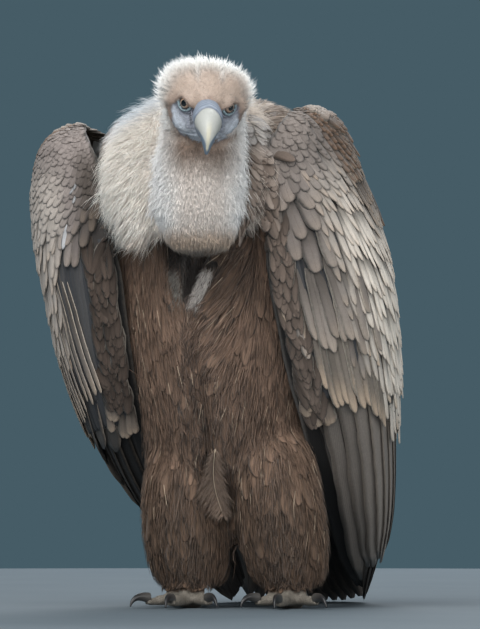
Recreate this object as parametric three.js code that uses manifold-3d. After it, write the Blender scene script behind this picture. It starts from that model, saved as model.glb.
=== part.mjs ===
// Griffon vulture (Gyps fulvus), adult, life size: a still model standing hunched, the head held low
// in front of the raised shoulders and both wings half folded and drooped like a cloak.
// Millimetres. +Z is up, the bird faces -Y and +X is its left side. The floor is z = 0.
import * as THREE from "three";
import { mergeVertices } from "three/addons/utils/BufferGeometryUtils.js";
import Module from "manifold-3d";

const wasm = await Module();
wasm.setup();

// ---------------------------------------------------------------- driving dimensions
const GAP = 0.35; // clearance that touching pieces keep
const STEP = 0.01; // share of a path over which its direction is taken
const SIDES = { left: 1, right: -1 }; // sign of x on each side of the bird
const BODY_YAW = -13; // degrees, the body faces a little to its right
const LEAN = 0.07; // how far the body leans to its right, for each unit of height
const SHOULDER_HEIGHT = 550;
const STANCE_X = 20; // middle of the two feet
const FOOT_SIDE = 58; // each foot from the stance's middle
const FOOT_Y = 45;
const HEAD_YAW = 4;
const HEAD_ROLL = 5.5;
const HEAD_PITCH = 17; // bill down
const EYE_LINE = [-8.5, -185, 557]; // midpoint between the eyes, the head frame's origin
const EYE_RADIUS = 12.5;
const EYE_PLACE = { side: 18.5, forward: -7 }; // centre of the eyeball in the head frame
const EYE_AIM = { side: 0.78, forward: 0.62 }; // where the pupil points
const LID_RADIUS = 9; // the dish between the lids
const LID_PLACE = 13.5; // its centre from the eyeball's, along the aim

// ---------------------------------------------------------------- materials
const paint = (color, roughness) =>
  new THREE.MeshStandardMaterial({ color, roughness, metalness: 0 });
const DOWN = paint(0xdcd2c6, 0.95);
const CONTOUR = paint(0x6a5446, 0.9);
const COVERT = paint(0x978a80, 0.85);
const REMIGE = paint(0x3f3c3a, 0.7);
const HORN = paint(0xd6d2c4, 0.35);
const MANDIBLE = paint(0x5d6670, 0.4);
const EYE = paint(0x4a3a22, 0.1);
const SCUTE = paint(0x77746c, 0.6);
const CLAW = paint(0x2b2a2b, 0.35);

// ---------------------------------------------------------------- frames
const { clamp, degToRad, lerp } = THREE.MathUtils;
const point = (x, y, z) => new THREE.Vector3(x, y, z);
const UP = point(0, 0, 1);
const HEAD = new THREE.Matrix4()
  .makeRotationFromEuler(
    new THREE.Euler(degToRad(HEAD_PITCH), degToRad(HEAD_ROLL), degToRad(HEAD_YAW), "ZYX"),
  )
  .setPosition(...EYE_LINE);
const BODY = new THREE.Matrix4().makeRotationZ(degToRad(BODY_YAW)).setPosition(STANCE_X, 0, 0);

const inHead = (side, forward, up) => point(side, -forward, up).applyMatrix4(HEAD);
// The lean moves the body sideways with height and lifts its left side, and leaves the floor level.
const inBody = (x, y, z) =>
  point(x - LEAN * z, y, z * (1 + (LEAN * x) / SHOULDER_HEIGHT)).applyMatrix4(BODY);

// ---------------------------------------------------------------- shape tools
// A smooth value through rows of numbers, at t from 0 to 1 (Catmull-Rom, rows evenly spaced in t).
function through(rows, t) {
  const last = rows.length - 1;
  const i = Math.min(Math.floor(t * last), last - 1);
  const f = t * last - i;
  const [a, b, c, d] = [-1, 0, 1, 2].map((k) => rows[clamp(i + k, 0, last)]);
  return b.map((_, n) => {
    const slope = c[n] - a[n];
    const bend = 2 * a[n] - 5 * b[n] + 4 * c[n] - d[n];
    const twist = 3 * b[n] - a[n] - 3 * c[n] + d[n];
    return b[n] + 0.5 * f * (slope + f * (bend + f * twist));
  });
}

// A closed mesh as a solid: shared corners are merged and slivers dropped, and it faces out.
function asSolid(geometry) {
  geometry.deleteAttribute("normal");
  geometry.deleteAttribute("uv");
  const merged = mergeVertices(geometry, 1e-3);
  const corners = Array.from(merged.index.array);
  const triangles = [];
  for (let i = 0; i < corners.length; i += 3) {
    const [a, b, c] = corners.slice(i, i + 3);
    if (a !== b && b !== c && c !== a) triangles.push([a, b, c]);
  }
  const build = (faces) =>
    new wasm.Manifold(
      new wasm.Mesh({
        numProp: 3,
        vertProperties: merged.attributes.position.array,
        triVerts: new Uint32Array(faces.flat()),
      }),
    );
  const made = build(triangles);
  return made.volume() > 0 ? made : build(triangles.map(([a, b, c]) => [a, c, b]));
}

const fromFaces = (points, faces) =>
  asSolid(new THREE.BufferGeometry().setFromPoints(points).setIndex(faces));

// The closed surface over rings of equal length, with a fan over each end.
function overRings(rings) {
  const around = rings[0].length;
  const middle = (ring) => ring.reduce((s, p) => s.add(p), point(0, 0, 0)).divideScalar(around);
  const first = rings.length * around;
  const end = first - around;
  const faces = [];
  for (let j = 0; j < around; j++) {
    const next = (j + 1) % around;
    for (let i = 0; i < end; i += around)
      faces.push(i + j, i + next, i + next + around, i + j, i + next + around, i + j + around);
    faces.push(first, next, j, first + 1, end + j, end + next);
  }
  return fromFaces([...rings.flat(), middle(rings[0]), middle(rings.at(-1))], faces);
}

const turns = (sides) => Array.from({ length: sides }, (_, j) => (2 * Math.PI * j) / sides);

// Elliptical sections across an axis. Each row is [w, centre u, centre v, half u, half v], and place
// turns (u, v, w) into a point. grow makes the whole solid that much larger.
function sections(rows, steps, sides, place, grow = 0, square = 1) {
  const filled = (v) => Math.sign(v) * Math.abs(v) ** square;
  const direction = Math.sign(rows.at(-1)[0] - rows[0][0]);
  const rings = [];
  for (let i = 0; i <= steps; i++) {
    const [w, cu, cv, hu, hv] = through(rows, i / steps);
    const beyond = grow * direction * ((i === steps) - (i === 0));
    rings.push(
      turns(sides).map((a) =>
        place(
          cu + (hu + grow) * filled(Math.cos(a)),
          cv + (hv + grow) * filled(Math.sin(a)),
          w + beyond,
        ),
      ),
    );
  }
  return overRings(rings);
}

// A bent tube. Each row is [x, y, z, half width, half height] in the frame of place; the width stays
// square to the hint.
function tube(rows, steps, sides, place, hint, grow = 0) {
  const centre = (t) => place(...through(rows, clamp(t, 0, 1)).slice(0, 3));
  const rings = [];
  for (let i = 0; i <= steps; i++) {
    const t = i / steps;
    const ahead = centre(t + STEP).sub(centre(t - STEP)).normalize();
    const across = ahead.clone().cross(hint).normalize();
    const up = across.clone().cross(ahead);
    const middle = centre(t).addScaledVector(ahead, grow * ((i === steps) - (i === 0)));
    const [wide, high] = through(rows, t).slice(3);
    rings.push(
      turns(sides).map((a) =>
        middle
          .clone()
          .addScaledVector(across, (wide + grow) * Math.cos(a))
          .addScaledVector(up, (high + grow) * Math.sin(a)),
      ),
    );
  }
  return overRings(rings);
}

// A curved plate: surface(i, j, depth) gives the point of row i and column j, on its outer face at
// depth 0 and on its inner face at depth 1.
function plate(rows, columns, surface) {
  const wide = columns + 1;
  const level = (rows + 1) * wide;
  const points = [];
  for (const depth of [0, 1])
    for (let i = 0; i <= rows; i++)
      for (let j = 0; j <= columns; j++) points.push(surface(i, j, depth));
  const faces = [];
  const quad = (a, b, c, d) => faces.push(a, b, c, a, c, d);
  for (let i = 0; i < rows; i++)
    for (let j = 0; j < columns; j++) {
      const a = i * wide + j;
      quad(a, a + 1, a + wide + 1, a + wide);
      quad(a + level, a + level + wide, a + level + wide + 1, a + level + 1);
    }
  for (let j = 0; j < columns; j++) {
    const end = rows * wide + j;
    quad(j, j + level, j + 1 + level, j + 1);
    quad(end, end + 1, end + 1 + level, end + level);
  }
  for (let i = 0; i < rows; i++) {
    const [a, b] = [i * wide, i * wide + columns];
    quad(a, a + wide, a + wide + level, a + level);
    quad(b, b + level, b + wide + level, b + wide);
  }
  return fromFaces(points, faces);
}

const largest = (solid) =>
  solid.decompose().reduce((best, s) => (s.volume() > best.volume() ? s : best));
const less = (solid, ...cutters) => largest(cutters.reduce((s, c) => s.subtract(c), solid));

// All the room above the floor, which trims soles and feather tips flat.
const ROOM = 1000;
const aboveFloor = asSolid(new THREE.BoxGeometry(ROOM, ROOM, ROOM).translate(0, 0, ROOM / 2));

// ---------------------------------------------------------------- trunk
// Levels from the belly up to the shoulders' hump: [z, middle x, middle y, half width, half depth].
const TRUNK_LEVELS = [
  [98, -6, 132, 12, 16],
  [112, -9, 130, 66, 88],
  [150, -13, 126, 100, 144],
  [210, -9, 121, 112, 175],
  [285, -5, 98, 121, 184],
  [365, -1, 76, 127, 176],
  [440, 0, 57, 132, 152],
  [500, -1, 47, 129, 124],
  [542, -5, 45, 109, 90],
  [566, -8, 46, 66, 52],
  [575, -8, 46, 18, 16],
];
const trunk = (grow) => sections(TRUNK_LEVELS, 12, 22, (u, v, w) => inBody(u, v, w), grow);

// ---------------------------------------------------------------- head and bill
// Sections across the skull and its down: [forward, middle x, middle up, half width, half height].
const HEAD_SECTIONS = [
  [-66, -6, 5, 10, 10],
  [-58, -5, 5, 37, 29],
  [-44, -3, 5, 55, 39],
  [-27, -1, 4, 57.5, 42.5],
  [-13, 0, -2, 45, 42],
  [-3, 0, -5, 32.5, 38],
  [6, 0, -8, 25.5, 32],
  [14, 0, -10, 19.5, 26],
  [23, 0, -11, 13, 19],
];
const FACE_SQUARE = 0.9; // under 1 fills out the sections' corners, for the brow and the jaw
const skull = (grow) =>
  sections(HEAD_SECTIONS, 11, 18, (u, v, w) => inHead(u, w, v), grow, FACE_SQUARE);

// The hooked upper bill with its cere, and the lower bill: [0, forward, up, half width, half height].
const UPPER_BILL = [
  [0, 12, -3.5, 13, 14],
  [0, 24, -4, 15, 14.5],
  [0, 38, -5, 15.6, 14],
  [0, 52, -7, 14.4, 13],
  [0, 64, -11, 11.4, 11.2],
  [0, 72, -18, 7.8, 8],
  [0, 76, -26, 4.6, 4.8],
  [0, 77, -34, 1.6, 1.8],
];
const LOWER_BILL = [
  [0, 12, -20, 12, 8],
  [0, 28, -21.5, 11, 6.6],
  [0, 44, -22.5, 9, 5.4],
  [0, 56, -22.5, 6, 3.8],
  [0, 62, -22, 2.4, 1.6],
];
const headUp = UP.clone().transformDirection(HEAD);
const upperBill = (grow) => tube(UPPER_BILL, 10, 10, inHead, headUp, grow);
const lowerBill = (grow) => tube(LOWER_BILL, 6, 8, inHead, headUp, grow);

// ---------------------------------------------------------------- eyes
function ballAlongAim(sign, radius, distance) {
  const side = sign * (EYE_PLACE.side + distance * EYE_AIM.side);
  const centre = inHead(side, EYE_PLACE.forward + distance * EYE_AIM.forward, 0);
  return asSolid(new THREE.SphereGeometry(radius, 10, 8).translate(...centre.toArray()));
}
const eyeball = (sign, grow = 0) => ballAlongAim(sign, EYE_RADIUS + grow, 0);
const lidOpening = (sign) => ballAlongAim(sign, LID_RADIUS, LID_PLACE);

// ---------------------------------------------------------------- neck and ruff
// The neck hangs in a deep bend: its downy front is a column with a rounded foot, over the chest.
const NECK_LEVELS = [
  [388, -17, -122, 12, 12],
  [396, -17, -122, 34, 34],
  [416, -17, -122, 48, 47],
  [448, -17, -125, 54, 53],
  [486, -16, -128, 54, 51],
  [525, -14, -126, 50, 47],
  [562, -12, -117, 43, 41],
  [584, -12, -108, 33, 33],
  [594, -12, -104, 12, 12],
];
const neck = (grow) => sections(NECK_LEVELS, 9, 14, point, grow);

// The ruff is a horseshoe of plumes round the back of the neck, fuller on the bird's right:
// [x, y, z, half width, half height] from its right front foot to its left one.
const RUFF_PATH = [
  [-80, -106, 402, 10, 14],
  [-84, -100, 430, 29, 30],
  [-88, -88, 475, 38, 36],
  [-82, -70, 510, 37, 34],
  [-60, -38, 537, 34, 31],
  [-14, -18, 553, 30, 30],
  [24, -42, 543, 30, 29],
  [38, -78, 512, 26, 26],
  [36, -102, 470, 22, 24],
  [30, -112, 430, 12, 14],
];
const RUFF_HINT = point(0.05, -0.9, 0.4);
const ruff = (grow) => tube(RUFF_PATH, 12, 12, point, RUFF_HINT, grow);

// ---------------------------------------------------------------- wings
// The wing hangs from the wrist at s = 0 to its tips at s = 1 as a half-elliptic shell, from the
// leading edge at w = 0 round to the back edge at w = 1. Each row is the leading edge (x, y, z), the
// back edge (x, y, z), how far the shell bulges out between them, and its thickness.
const WING_ROWS = [
  [126, -50, 547, 127, -44, 547, 1, 6],
  [114, -80, 528, 130, 2, 545, 22, 20],
  [98, -96, 490, 124, 66, 537, 48, 30],
  [88, -98, 425, 98, 136, 506, 86, 34],
  [88, -76, 335, 74, 206, 432, 114, 30],
  [93, -30, 245, 59, 266, 335, 112, 20],
  [96, 40, 165, 50, 312, 230, 94, 13],
  [91, 150, 82, 47, 342, 115, 66, 9],
  [74, 306, 0, 46, 372, 0, 18, 6],
];
const WING_EDGE = 7; // most thickness along the shell's two edges
const BULGE_FORWARD = 0.76; // under 1 moves the deepest part of the bulge forward
const EDGE_LEAN = 0.35; // share of the thickness that the shell's edges take sideways
const EDGE_TURN = 0.75; // and front to back
const RIGHT_FLATTER = 0.27; // share of its bulge that the right wing loses by its tips
const RIGHT_FULLER = 26; // and what its shoulder bulges further, over its upper half

function wingPoint(sign, s, w, depth) {
  const [lx, ly, lz, bx, by, bz, bulge, thick] = through(WING_ROWS, s);
  const along = (1 - Math.cos(Math.PI * w)) / 2;
  const out = Math.sin(Math.PI * w ** BULGE_FORWARD);
  const inset = depth * lerp(Math.min(WING_EDGE, thick), thick, out);
  const fuller = RIGHT_FULLER * Math.sin(Math.PI * Math.min(2 * s, 1));
  const bulged = out * (sign > 0 ? bulge : bulge * (1 - RIGHT_FLATTER * s ** 2) + fuller);
  const x = lerp(lx, bx, along) + bulged - inset * lerp(EDGE_LEAN, 1, out);
  const y = lerp(ly, by, along) + inset * EDGE_TURN * Math.cos(Math.PI * w);
  return inBody(sign * x, y, lerp(lz, bz, along));
}

// The feather groups: coverts above, then primaries along the leading edge and secondaries behind
// them. All three share the columns of the wing, so that their borders match.
const COLUMNS = 18;
const HAND_COLUMNS = 6; // columns of the primaries
const HAND_SHARE = HAND_COLUMNS / COLUMNS;
const HAND_WIDENS = 0.77; // below this share of the length the primaries spread behind
const SEAM = 0.0013; // gap between groups, as a share of the wing
const COVERT_SCALLOP = 0.016;
const REMIGE_SCALLOP = 0.01;
const COVERT_END = { edge: 0.53, further: 0.2, forward: 0.9 }; // they reach furthest along the middle
const SECONDARY_END = { front: 0.94, back: 0.79 };
const HAND_SPREAD = { by: 0.45, power: 1.5 };
const zigzag = (column) => (column % 2 ? 1 : -1);
const covertEnd = (w) =>
  COVERT_END.edge + COVERT_END.further * Math.sin(Math.PI * w ** COVERT_END.forward);
const coverts = (column) => covertEnd(column / COLUMNS) + COVERT_SCALLOP * zigzag(column);
const secondaryEnd = (w) => lerp(SECONDARY_END.front, SECONDARY_END.back, w ** 2);
const handShare = (s) => {
  const past = Math.max(0, (s - HAND_WIDENS) / (1 - HAND_WIDENS));
  return HAND_SHARE + HAND_SPREAD.by * past ** HAND_SPREAD.power;
};

const COVERT_ROWS = 9;
const SECONDARY_ROWS = 5;
const TIP_ROWS = 2; // further rows of the primaries, past the secondaries' ends
const wingCoverts = (sign) =>
  plate(COVERT_ROWS, COLUMNS, (i, j, depth) =>
    wingPoint(sign, (i / COVERT_ROWS) * coverts(j), j / COLUMNS, depth),
  );
const wingPrimaries = (sign) =>
  plate(SECONDARY_ROWS + TIP_ROWS, HAND_COLUMNS, (i, j, depth) => {
    const pastEnd = Math.max(0, (i - SECONDARY_ROWS) / TIP_ROWS);
    const upper = lerp(coverts(j) + SEAM, secondaryEnd(HAND_SHARE), Math.min(i / SECONDARY_ROWS, 1));
    const s = lerp(upper, 1 + REMIGE_SCALLOP * (zigzag(j) - 1), pastEnd);
    return wingPoint(sign, s, (j / HAND_COLUMNS) * (handShare(s) - 2 * SEAM), depth);
  });
const wingSecondaries = (sign) =>
  plate(SECONDARY_ROWS, COLUMNS - HAND_COLUMNS, (i, j, depth) => {
    const column = HAND_COLUMNS + j;
    const end = secondaryEnd(column / COLUMNS) + REMIGE_SCALLOP * zigzag(column) * (j > 0);
    const s = lerp(coverts(column) + SEAM, end, i / SECONDARY_ROWS);
    return wingPoint(sign, s, lerp(handShare(s) + SEAM, 1, j / (COLUMNS - HAND_COLUMNS)), depth);
  });

// ---------------------------------------------------------------- tail
const TAIL_BASE = { y: 262, z: 262, half: 34, thick: 22 };
const TAIL_TIP = { y: 392, z: 0, half: 74, thick: 7 };
const TAIL_FEATHERS = 9;
const TAIL_ROWS = 4;
const TAIL_ARCH = 14; // the tail is a shallow roof, highest along its middle
const TAIL_ROUND = 0.05; // share of their length that its outermost feathers lack
const TAIL_SCALLOP = 0.012;
const TAIL_TILT = 0.3; // how far its thickness leans down instead of forward
const tail = () =>
  plate(TAIL_ROWS, 2 * TAIL_FEATHERS, (i, j, depth) => {
    const across = j / TAIL_FEATHERS - 1;
    const length = (i / TAIL_ROWS) * (1 - TAIL_ROUND * across ** 2 + TAIL_SCALLOP * zigzag(j));
    const mix = (key) => lerp(TAIL_BASE[key], TAIL_TIP[key], length);
    const sunk = TAIL_ARCH * across ** 2 + depth * mix("thick");
    return inBody(across * mix("half"), mix("y") - sunk, mix("z") - TAIL_TILT * sunk);
  });

// ---------------------------------------------------------------- legs and feet
// The feathered thigh, from the foot up: [z, middle x, middle y, half width, half depth], left side.
const THIGH_LEVELS = [
  [22, 57, 45, 37, 35],
  [40, 56, 42, 46, 46],
  [75, 55, 37, 52, 56],
  [120, 53, 33, 51.5, 63],
  [168, 49, 40, 47.5, 66],
  [205, 45, 60, 41, 48],
  [225, 43, 70, 18, 20],
];
const thigh = (sign, grow) =>
  sections(THIGH_LEVELS, 9, 14, (u, v, w) => inBody(sign * u, v, w), grow);

// Each toe: its angle out from straight ahead, its length and its half thickness.
const TOES = {
  middle: { angle: 2, length: 88, half: 9.5 },
  inner: { angle: -34, length: 58, half: 9 },
  outer: { angle: 38, length: 66, half: 8.5 },
  back: { angle: 176, length: 40, half: 8.5 },
};
const TOE_HEIGHT = 7.5; // the toe's middle line, low enough that its pads are trimmed flat
const TOE_START = -8; // the toes run together under the shank
const TOE_RISE = 3.5; // the toe's root is higher than its tip by this
const KNUCKLES = 3;
const TOE_WAIST = 0.86; // thickness between two knuckles, as a share of theirs
const TOE_TAPER = 0.22; // share of its thickness that a toe loses by its end
const CLAW_LENGTH = 27;
const CLAW_HALF = 5.2;
const CLAW_OVERLAP = 5; // how far the claw's root is set back into the toe
const CLAW_BEND = 1.35; // radians that the claw's length is bent through
const CLAW_ROOT_UP = 4.5; // its root over the toe's middle line
const CLAW_CROWN = 2.5; // how far its middle arches up
const CLAW_DROP = 9.5; // and its tip turns down
const CLAW_POINT = { width: 0.86, height: 0.99 }; // what it loses of its half thickness by the tip
const CLAW_DEEP = 1.15; // height of its root, for its width

// A toe's own frame: sideways, forward along the toe, and up from the floor.
const inToe = (sign, { angle }) => {
  const turn = degToRad(angle) * sign;
  return (side, forward, up) =>
    inBody(
      sign * FOOT_SIDE + forward * Math.sin(turn) + side * Math.cos(turn),
      FOOT_Y - forward * Math.cos(turn) + side * Math.sin(turn),
      up,
    );
};

function toeTube(sign, toe, grow) {
  const stations = 2 * KNUCKLES + 1;
  const rows = Array.from({ length: stations + 1 }, (_, i) => {
    const t = i / stations;
    const half = toe.half * (i % 2 ? 1 : TOE_WAIST) * (1 - TOE_TAPER * t);
    return [0, lerp(TOE_START, toe.length, t), TOE_HEIGHT + TOE_RISE * (1 - t), half, half];
  });
  return tube(rows, stations, 7, inToe(sign, toe), UP, grow);
}

function clawTube(sign, toe) {
  const stations = 4;
  const rows = Array.from({ length: stations + 1 }, (_, i) => {
    const t = i / stations;
    const forward = toe.length - CLAW_OVERLAP + CLAW_LENGTH * Math.sin(CLAW_BEND * t);
    const up = TOE_HEIGHT + CLAW_ROOT_UP + CLAW_CROWN * Math.sin(Math.PI * t) - CLAW_DROP * t * t;
    const wide = CLAW_HALF * (1 - CLAW_POINT.width * t);
    return [0, forward, up, wide, CLAW_HALF * (CLAW_DEEP - CLAW_POINT.height * t)];
  });
  return tube(rows, stations, 6, inToe(sign, toe), UP);
}

const claw = (sign, toe) => clawTube(sign, toe).intersect(aboveFloor);

// The shank stands on a round flat sole: [z, middle x, middle y, half width, half depth].
const SHANK_LEVELS = [
  [-4, 58, 45, 13, 14],
  [12, 58, 45, 12, 13],
  [24, 58, 45, 9.5, 10],
  [44, 57, 45, 9, 9],
];
const foot = (sign, grow) =>
  Object.values(TOES)
    .reduce(
      (solid, toe) => solid.add(toeTube(sign, toe, grow)),
      sections(SHANK_LEVELS, 4, 12, (u, v, w) => inBody(sign * u, v, w), grow),
    )
    .intersect(aboveFloor);

// ---------------------------------------------------------------- assembly
const bird = new THREE.Group();
function show(name, solid, material) {
  const { vertProperties, triVerts } = solid.getMesh();
  const geometry = new THREE.BufferGeometry();
  geometry.setAttribute("position", new THREE.BufferAttribute(vertProperties, 3));
  geometry.setIndex(Array.from(triVerts));
  geometry.computeVertexNormals();
  const mesh = new THREE.Mesh(geometry, material);
  mesh.name = name;
  bird.add(mesh);
}

const bothSides = Object.values(SIDES);
const sockets = bothSides.flatMap((sign) => [eyeball(sign, GAP), lidOpening(sign)]);
show("head", less(skull(), upperBill(GAP), lowerBill(GAP), ...sockets), DOWN);
show("bill_upper", upperBill(), HORN);
show("bill_lower", less(lowerBill(), upperBill(GAP)), MANDIBLE);
show("neck", less(neck(), skull(GAP), upperBill(GAP), lowerBill(GAP), trunk(GAP)), DOWN);
show("ruff", less(ruff(), skull(GAP), neck(GAP), trunk(GAP)), DOWN);
show("trunk", trunk(), CONTOUR);
show("tail", less(tail().intersect(aboveFloor), trunk(GAP)), REMIGE);

for (const [side, sign] of Object.entries(SIDES)) {
  show(`eye_${side}`, eyeball(sign), EYE);
  const around = [trunk(GAP), ruff(GAP), neck(GAP), thigh(sign, GAP)];
  show(`wing_${side}_coverts`, less(wingCoverts(sign), ...around), COVERT);
  show(`wing_${side}_secondaries`, less(wingSecondaries(sign), ...around), REMIGE);
  const primaries = wingPrimaries(sign).intersect(aboveFloor);
  show(`wing_${side}_primaries`, less(primaries, ...around), REMIGE);
  show(`thigh_${side}`, less(thigh(sign), foot(sign, GAP), trunk(GAP)), CONTOUR);
  show(`foot_${side}`, foot(sign), SCUTE);
  for (const [name, toe] of Object.entries(TOES))
    show(`claw_${side}_${name}`, less(claw(sign, toe), foot(sign, GAP)), CLAW);
}

// The origin is the middle of the bounding box, on the floor.
const box = new THREE.Box3().setFromObject(bird);
const middle = box.getCenter(point(0, 0, 0));
bird.position.set(-middle.x, -middle.y, -box.min.z);

export default bird;
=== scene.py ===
"""A griffon vulture dressed over its CAD frame: one skin, its down and feathers, bill, eyes and claws.

Shapes are worked out in the design frame (millimetres, the bird faces -Y, +X is its left side) and
are moved to the row's frame, in metres, as each mesh is made."""

import math

import bmesh
import bpy
import numpy as np
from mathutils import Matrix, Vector
from mathutils.bvhtree import BVHTree
from mathutils.kdtree import KDTree


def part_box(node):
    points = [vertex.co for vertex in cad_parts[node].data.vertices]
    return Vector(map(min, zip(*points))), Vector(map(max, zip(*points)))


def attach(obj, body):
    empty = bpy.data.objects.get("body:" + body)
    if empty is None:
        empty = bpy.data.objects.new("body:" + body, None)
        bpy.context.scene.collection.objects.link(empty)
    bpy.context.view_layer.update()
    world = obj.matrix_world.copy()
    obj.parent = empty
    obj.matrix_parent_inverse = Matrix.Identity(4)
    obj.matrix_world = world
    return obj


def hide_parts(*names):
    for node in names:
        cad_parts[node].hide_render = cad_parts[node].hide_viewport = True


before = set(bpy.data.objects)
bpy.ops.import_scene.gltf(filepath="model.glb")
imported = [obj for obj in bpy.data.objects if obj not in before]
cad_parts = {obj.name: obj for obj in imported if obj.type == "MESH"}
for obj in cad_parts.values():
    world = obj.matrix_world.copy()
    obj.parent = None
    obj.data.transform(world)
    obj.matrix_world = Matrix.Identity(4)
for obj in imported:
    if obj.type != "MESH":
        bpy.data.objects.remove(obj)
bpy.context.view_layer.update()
rng = np.random.default_rng(17)
MM = 0.001
SIDES = {"left": 1, "right": -1}
UP, DOWN = np.array([0, 0, 1.0]), np.array([0, 0, -1.0])
THIN = 1.0
SKIN_GAP, CLAW_GAP, FEATHER_GAP, TAIL_GAP = 0.2, 0.3, 1.2, 1.5  # how far each stays above the floor
BODY_VANE, WING_VANE, QUILL_VANE = 0.45, 0.5, 0.8  # half the thickness of a feather


# ---------------------------------------------------------------- small tools
def unit(v):
    return v / np.maximum(np.linalg.norm(v, axis=-1, keepdims=True), 1e-9)


def dot(a, b):
    return (a * b).sum(-1)


def mix(a, b, share):
    return a + (b - a) * share


def smooth(low, high, value):
    t = np.clip((value - low) / (high - low), 0, 1)
    return t * t * (3 - 2 * t)


def hump(*offs):
    """1 where every value is 0, falling off smoothly round there."""
    return np.exp(-sum(off**2 for off in offs))


def colour(red, green, blue):
    """A colour given as screen values, as linear light."""
    c = np.array([red, green, blue], float) / 255
    return np.where(c <= 0.04045, c / 12.92, ((c + 0.055) / 1.055) ** 2.4)


def vary(n, spread):
    """A factor round 1 for each of n."""
    return 1 + spread * rng.uniform(-1, 1, n)


def through(rows, t):
    """A smooth value through rows at t from 0 to 1, as the solids use it."""
    rows = np.asarray(rows, float)
    last = len(rows) - 1
    x = np.clip(np.asarray(t, float), 0, 1) * last
    i = np.minimum(x.astype(int), last - 1)
    f = (x - i)[..., None]
    a, b, c, d = (rows[np.clip(i + k, 0, last)] for k in (-1, 0, 1, 2))
    return b + 0.5 * f * ((c - a) + f * ((2 * a - 5 * b + 4 * c - d) + f * (3 * b - a - 3 * c + d)))


# ---------------------------------------------------------------- the part's own frames and rows
BODY_YAW, LEAN, SHOULDER_HEIGHT, STANCE_X = math.radians(-13), 0.07, 550, 20
HEAD_YAW, HEAD_ROLL, HEAD_PITCH = (math.radians(a) for a in (4, 5.5, 17))
EYE_LINE = np.array([-8.5, -185, 557])
EYE_RADIUS = 12.5
EYE_PLACE = np.array([18.5, -7, 0])  # side, forward, up of the left eyeball's centre
EYE_AIM = unit(np.array([0.60, 0.80, 0.03]))
LID_ANGLE = 34  # half the angle of the eye's opening, in degrees
FOOT_SIDE, FOOT_Y = 58, 45


def turn(axis, angle):
    c, s = math.cos(angle), math.sin(angle)
    i, j = {"x": (1, 2), "y": (2, 0), "z": (0, 1)}[axis]
    m = np.eye(3)
    m[i, i] = m[j, j] = c
    m[i, j], m[j, i] = -s, s
    return m


HEAD_TURN = turn("z", HEAD_YAW) @ turn("y", HEAD_ROLL) @ turn("x", HEAD_PITCH)
BODY_TURN = turn("z", BODY_YAW)
FLIP = np.array([1, -1, 1])  # forward is -Y


def in_head(p):
    return (np.asarray(p, float) * FLIP) @ HEAD_TURN.T + EYE_LINE


def to_head(p):
    return ((p - EYE_LINE) @ HEAD_TURN) * FLIP


def in_body(x, y, z):
    x, y, z = np.broadcast_arrays(x, y, z)
    leaning = np.stack([x - LEAN * z, y, z * (1 + LEAN * x / SHOULDER_HEIGHT)], -1)
    return leaning @ BODY_TURN.T + np.array([STANCE_X, 0, 0])


eye_low, eye_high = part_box("eye_left")
SHIFT = np.array((eye_low + eye_high) / 2) / MM - in_head(EYE_PLACE)

HEAD_SECTIONS = [  # forward, middle x, middle up, half width, half height
    (-66, -6, 5, 10, 10), (-58, -5, 5, 37, 29), (-44, -3, 5, 55, 39), (-27, -1, 4, 57.5, 42.5),
    (-13, 0, -2, 45, 42), (-3, 0, -5, 32.5, 38), (6, 0, -8, 25.5, 32), (14, 0, -10, 19.5, 26),
    (23, 0, -11, 13, 19),
]
UPPER_BILL = [  # side, forward, up, half width, half height
    (0, 12, -3.5, 13, 14), (0, 24, -4, 15, 14.5), (0, 38, -5, 15.6, 14), (0, 52, -7, 14.4, 13),
    (0, 64, -11, 11.4, 11.2), (0, 72, -18, 7.8, 8), (0, 76, -26, 4.6, 4.8), (0, 77, -34, 1.6, 1.8),
]
LOWER_BILL = [
    (0, 12, -20, 12, 8), (0, 28, -21.5, 11, 6.6), (0, 44, -22.5, 9, 5.4), (0, 56, -22.5, 6, 3.8),
    (0, 62, -22, 2.4, 1.6),
]
NECK_LEVELS = [  # z, x, y, half width, half depth
    (388, -17, -122, 12, 12), (396, -17, -122, 34, 34), (416, -17, -122, 48, 47),
    (448, -17, -125, 54, 53), (486, -16, -128, 54, 51), (525, -14, -126, 50, 47),
    (562, -12, -117, 43, 41), (584, -12, -108, 33, 33), (594, -12, -104, 12, 12),
]
RUFF_PATH = [  # x, y, z, half width, half height
    (-80, -106, 402, 10, 14), (-84, -100, 430, 29, 30), (-88, -88, 475, 38, 36),
    (-82, -70, 510, 37, 34), (-60, -38, 537, 34, 31), (-14, -18, 553, 30, 30),
    (24, -42, 543, 30, 29), (38, -78, 512, 26, 26), (36, -102, 470, 22, 24), (30, -112, 430, 12, 14),
]
RUFF_HINT = np.array([0.05, -0.9, 0.4])
TRUNK_LEVELS = [
    (98, -6, 132, 12, 16), (112, -9, 130, 66, 88), (150, -13, 126, 100, 144), (210, -9, 121, 112, 175),
    (285, -5, 98, 121, 184), (365, -1, 76, 127, 176), (440, 0, 57, 132, 152), (500, -1, 47, 129, 124),
    (542, -5, 45, 109, 90), (566, -8, 46, 66, 52), (575, -8, 46, 18, 16),
]
THIGH_LEVELS = [
    (22, 57, 45, 37, 35), (40, 56, 42, 46, 46), (75, 55, 37, 52, 56), (120, 53, 33, 51.5, 63),
    (168, 49, 40, 47.5, 66), (205, 45, 60, 41, 48), (225, 43, 70, 18, 20),
]
SHANK_LEVELS = [(-4, 58, 45, 13, 14), (12, 58, 45, 12, 13), (24, 58, 45, 9.5, 10), (44, 57, 45, 9, 9)]
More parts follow.
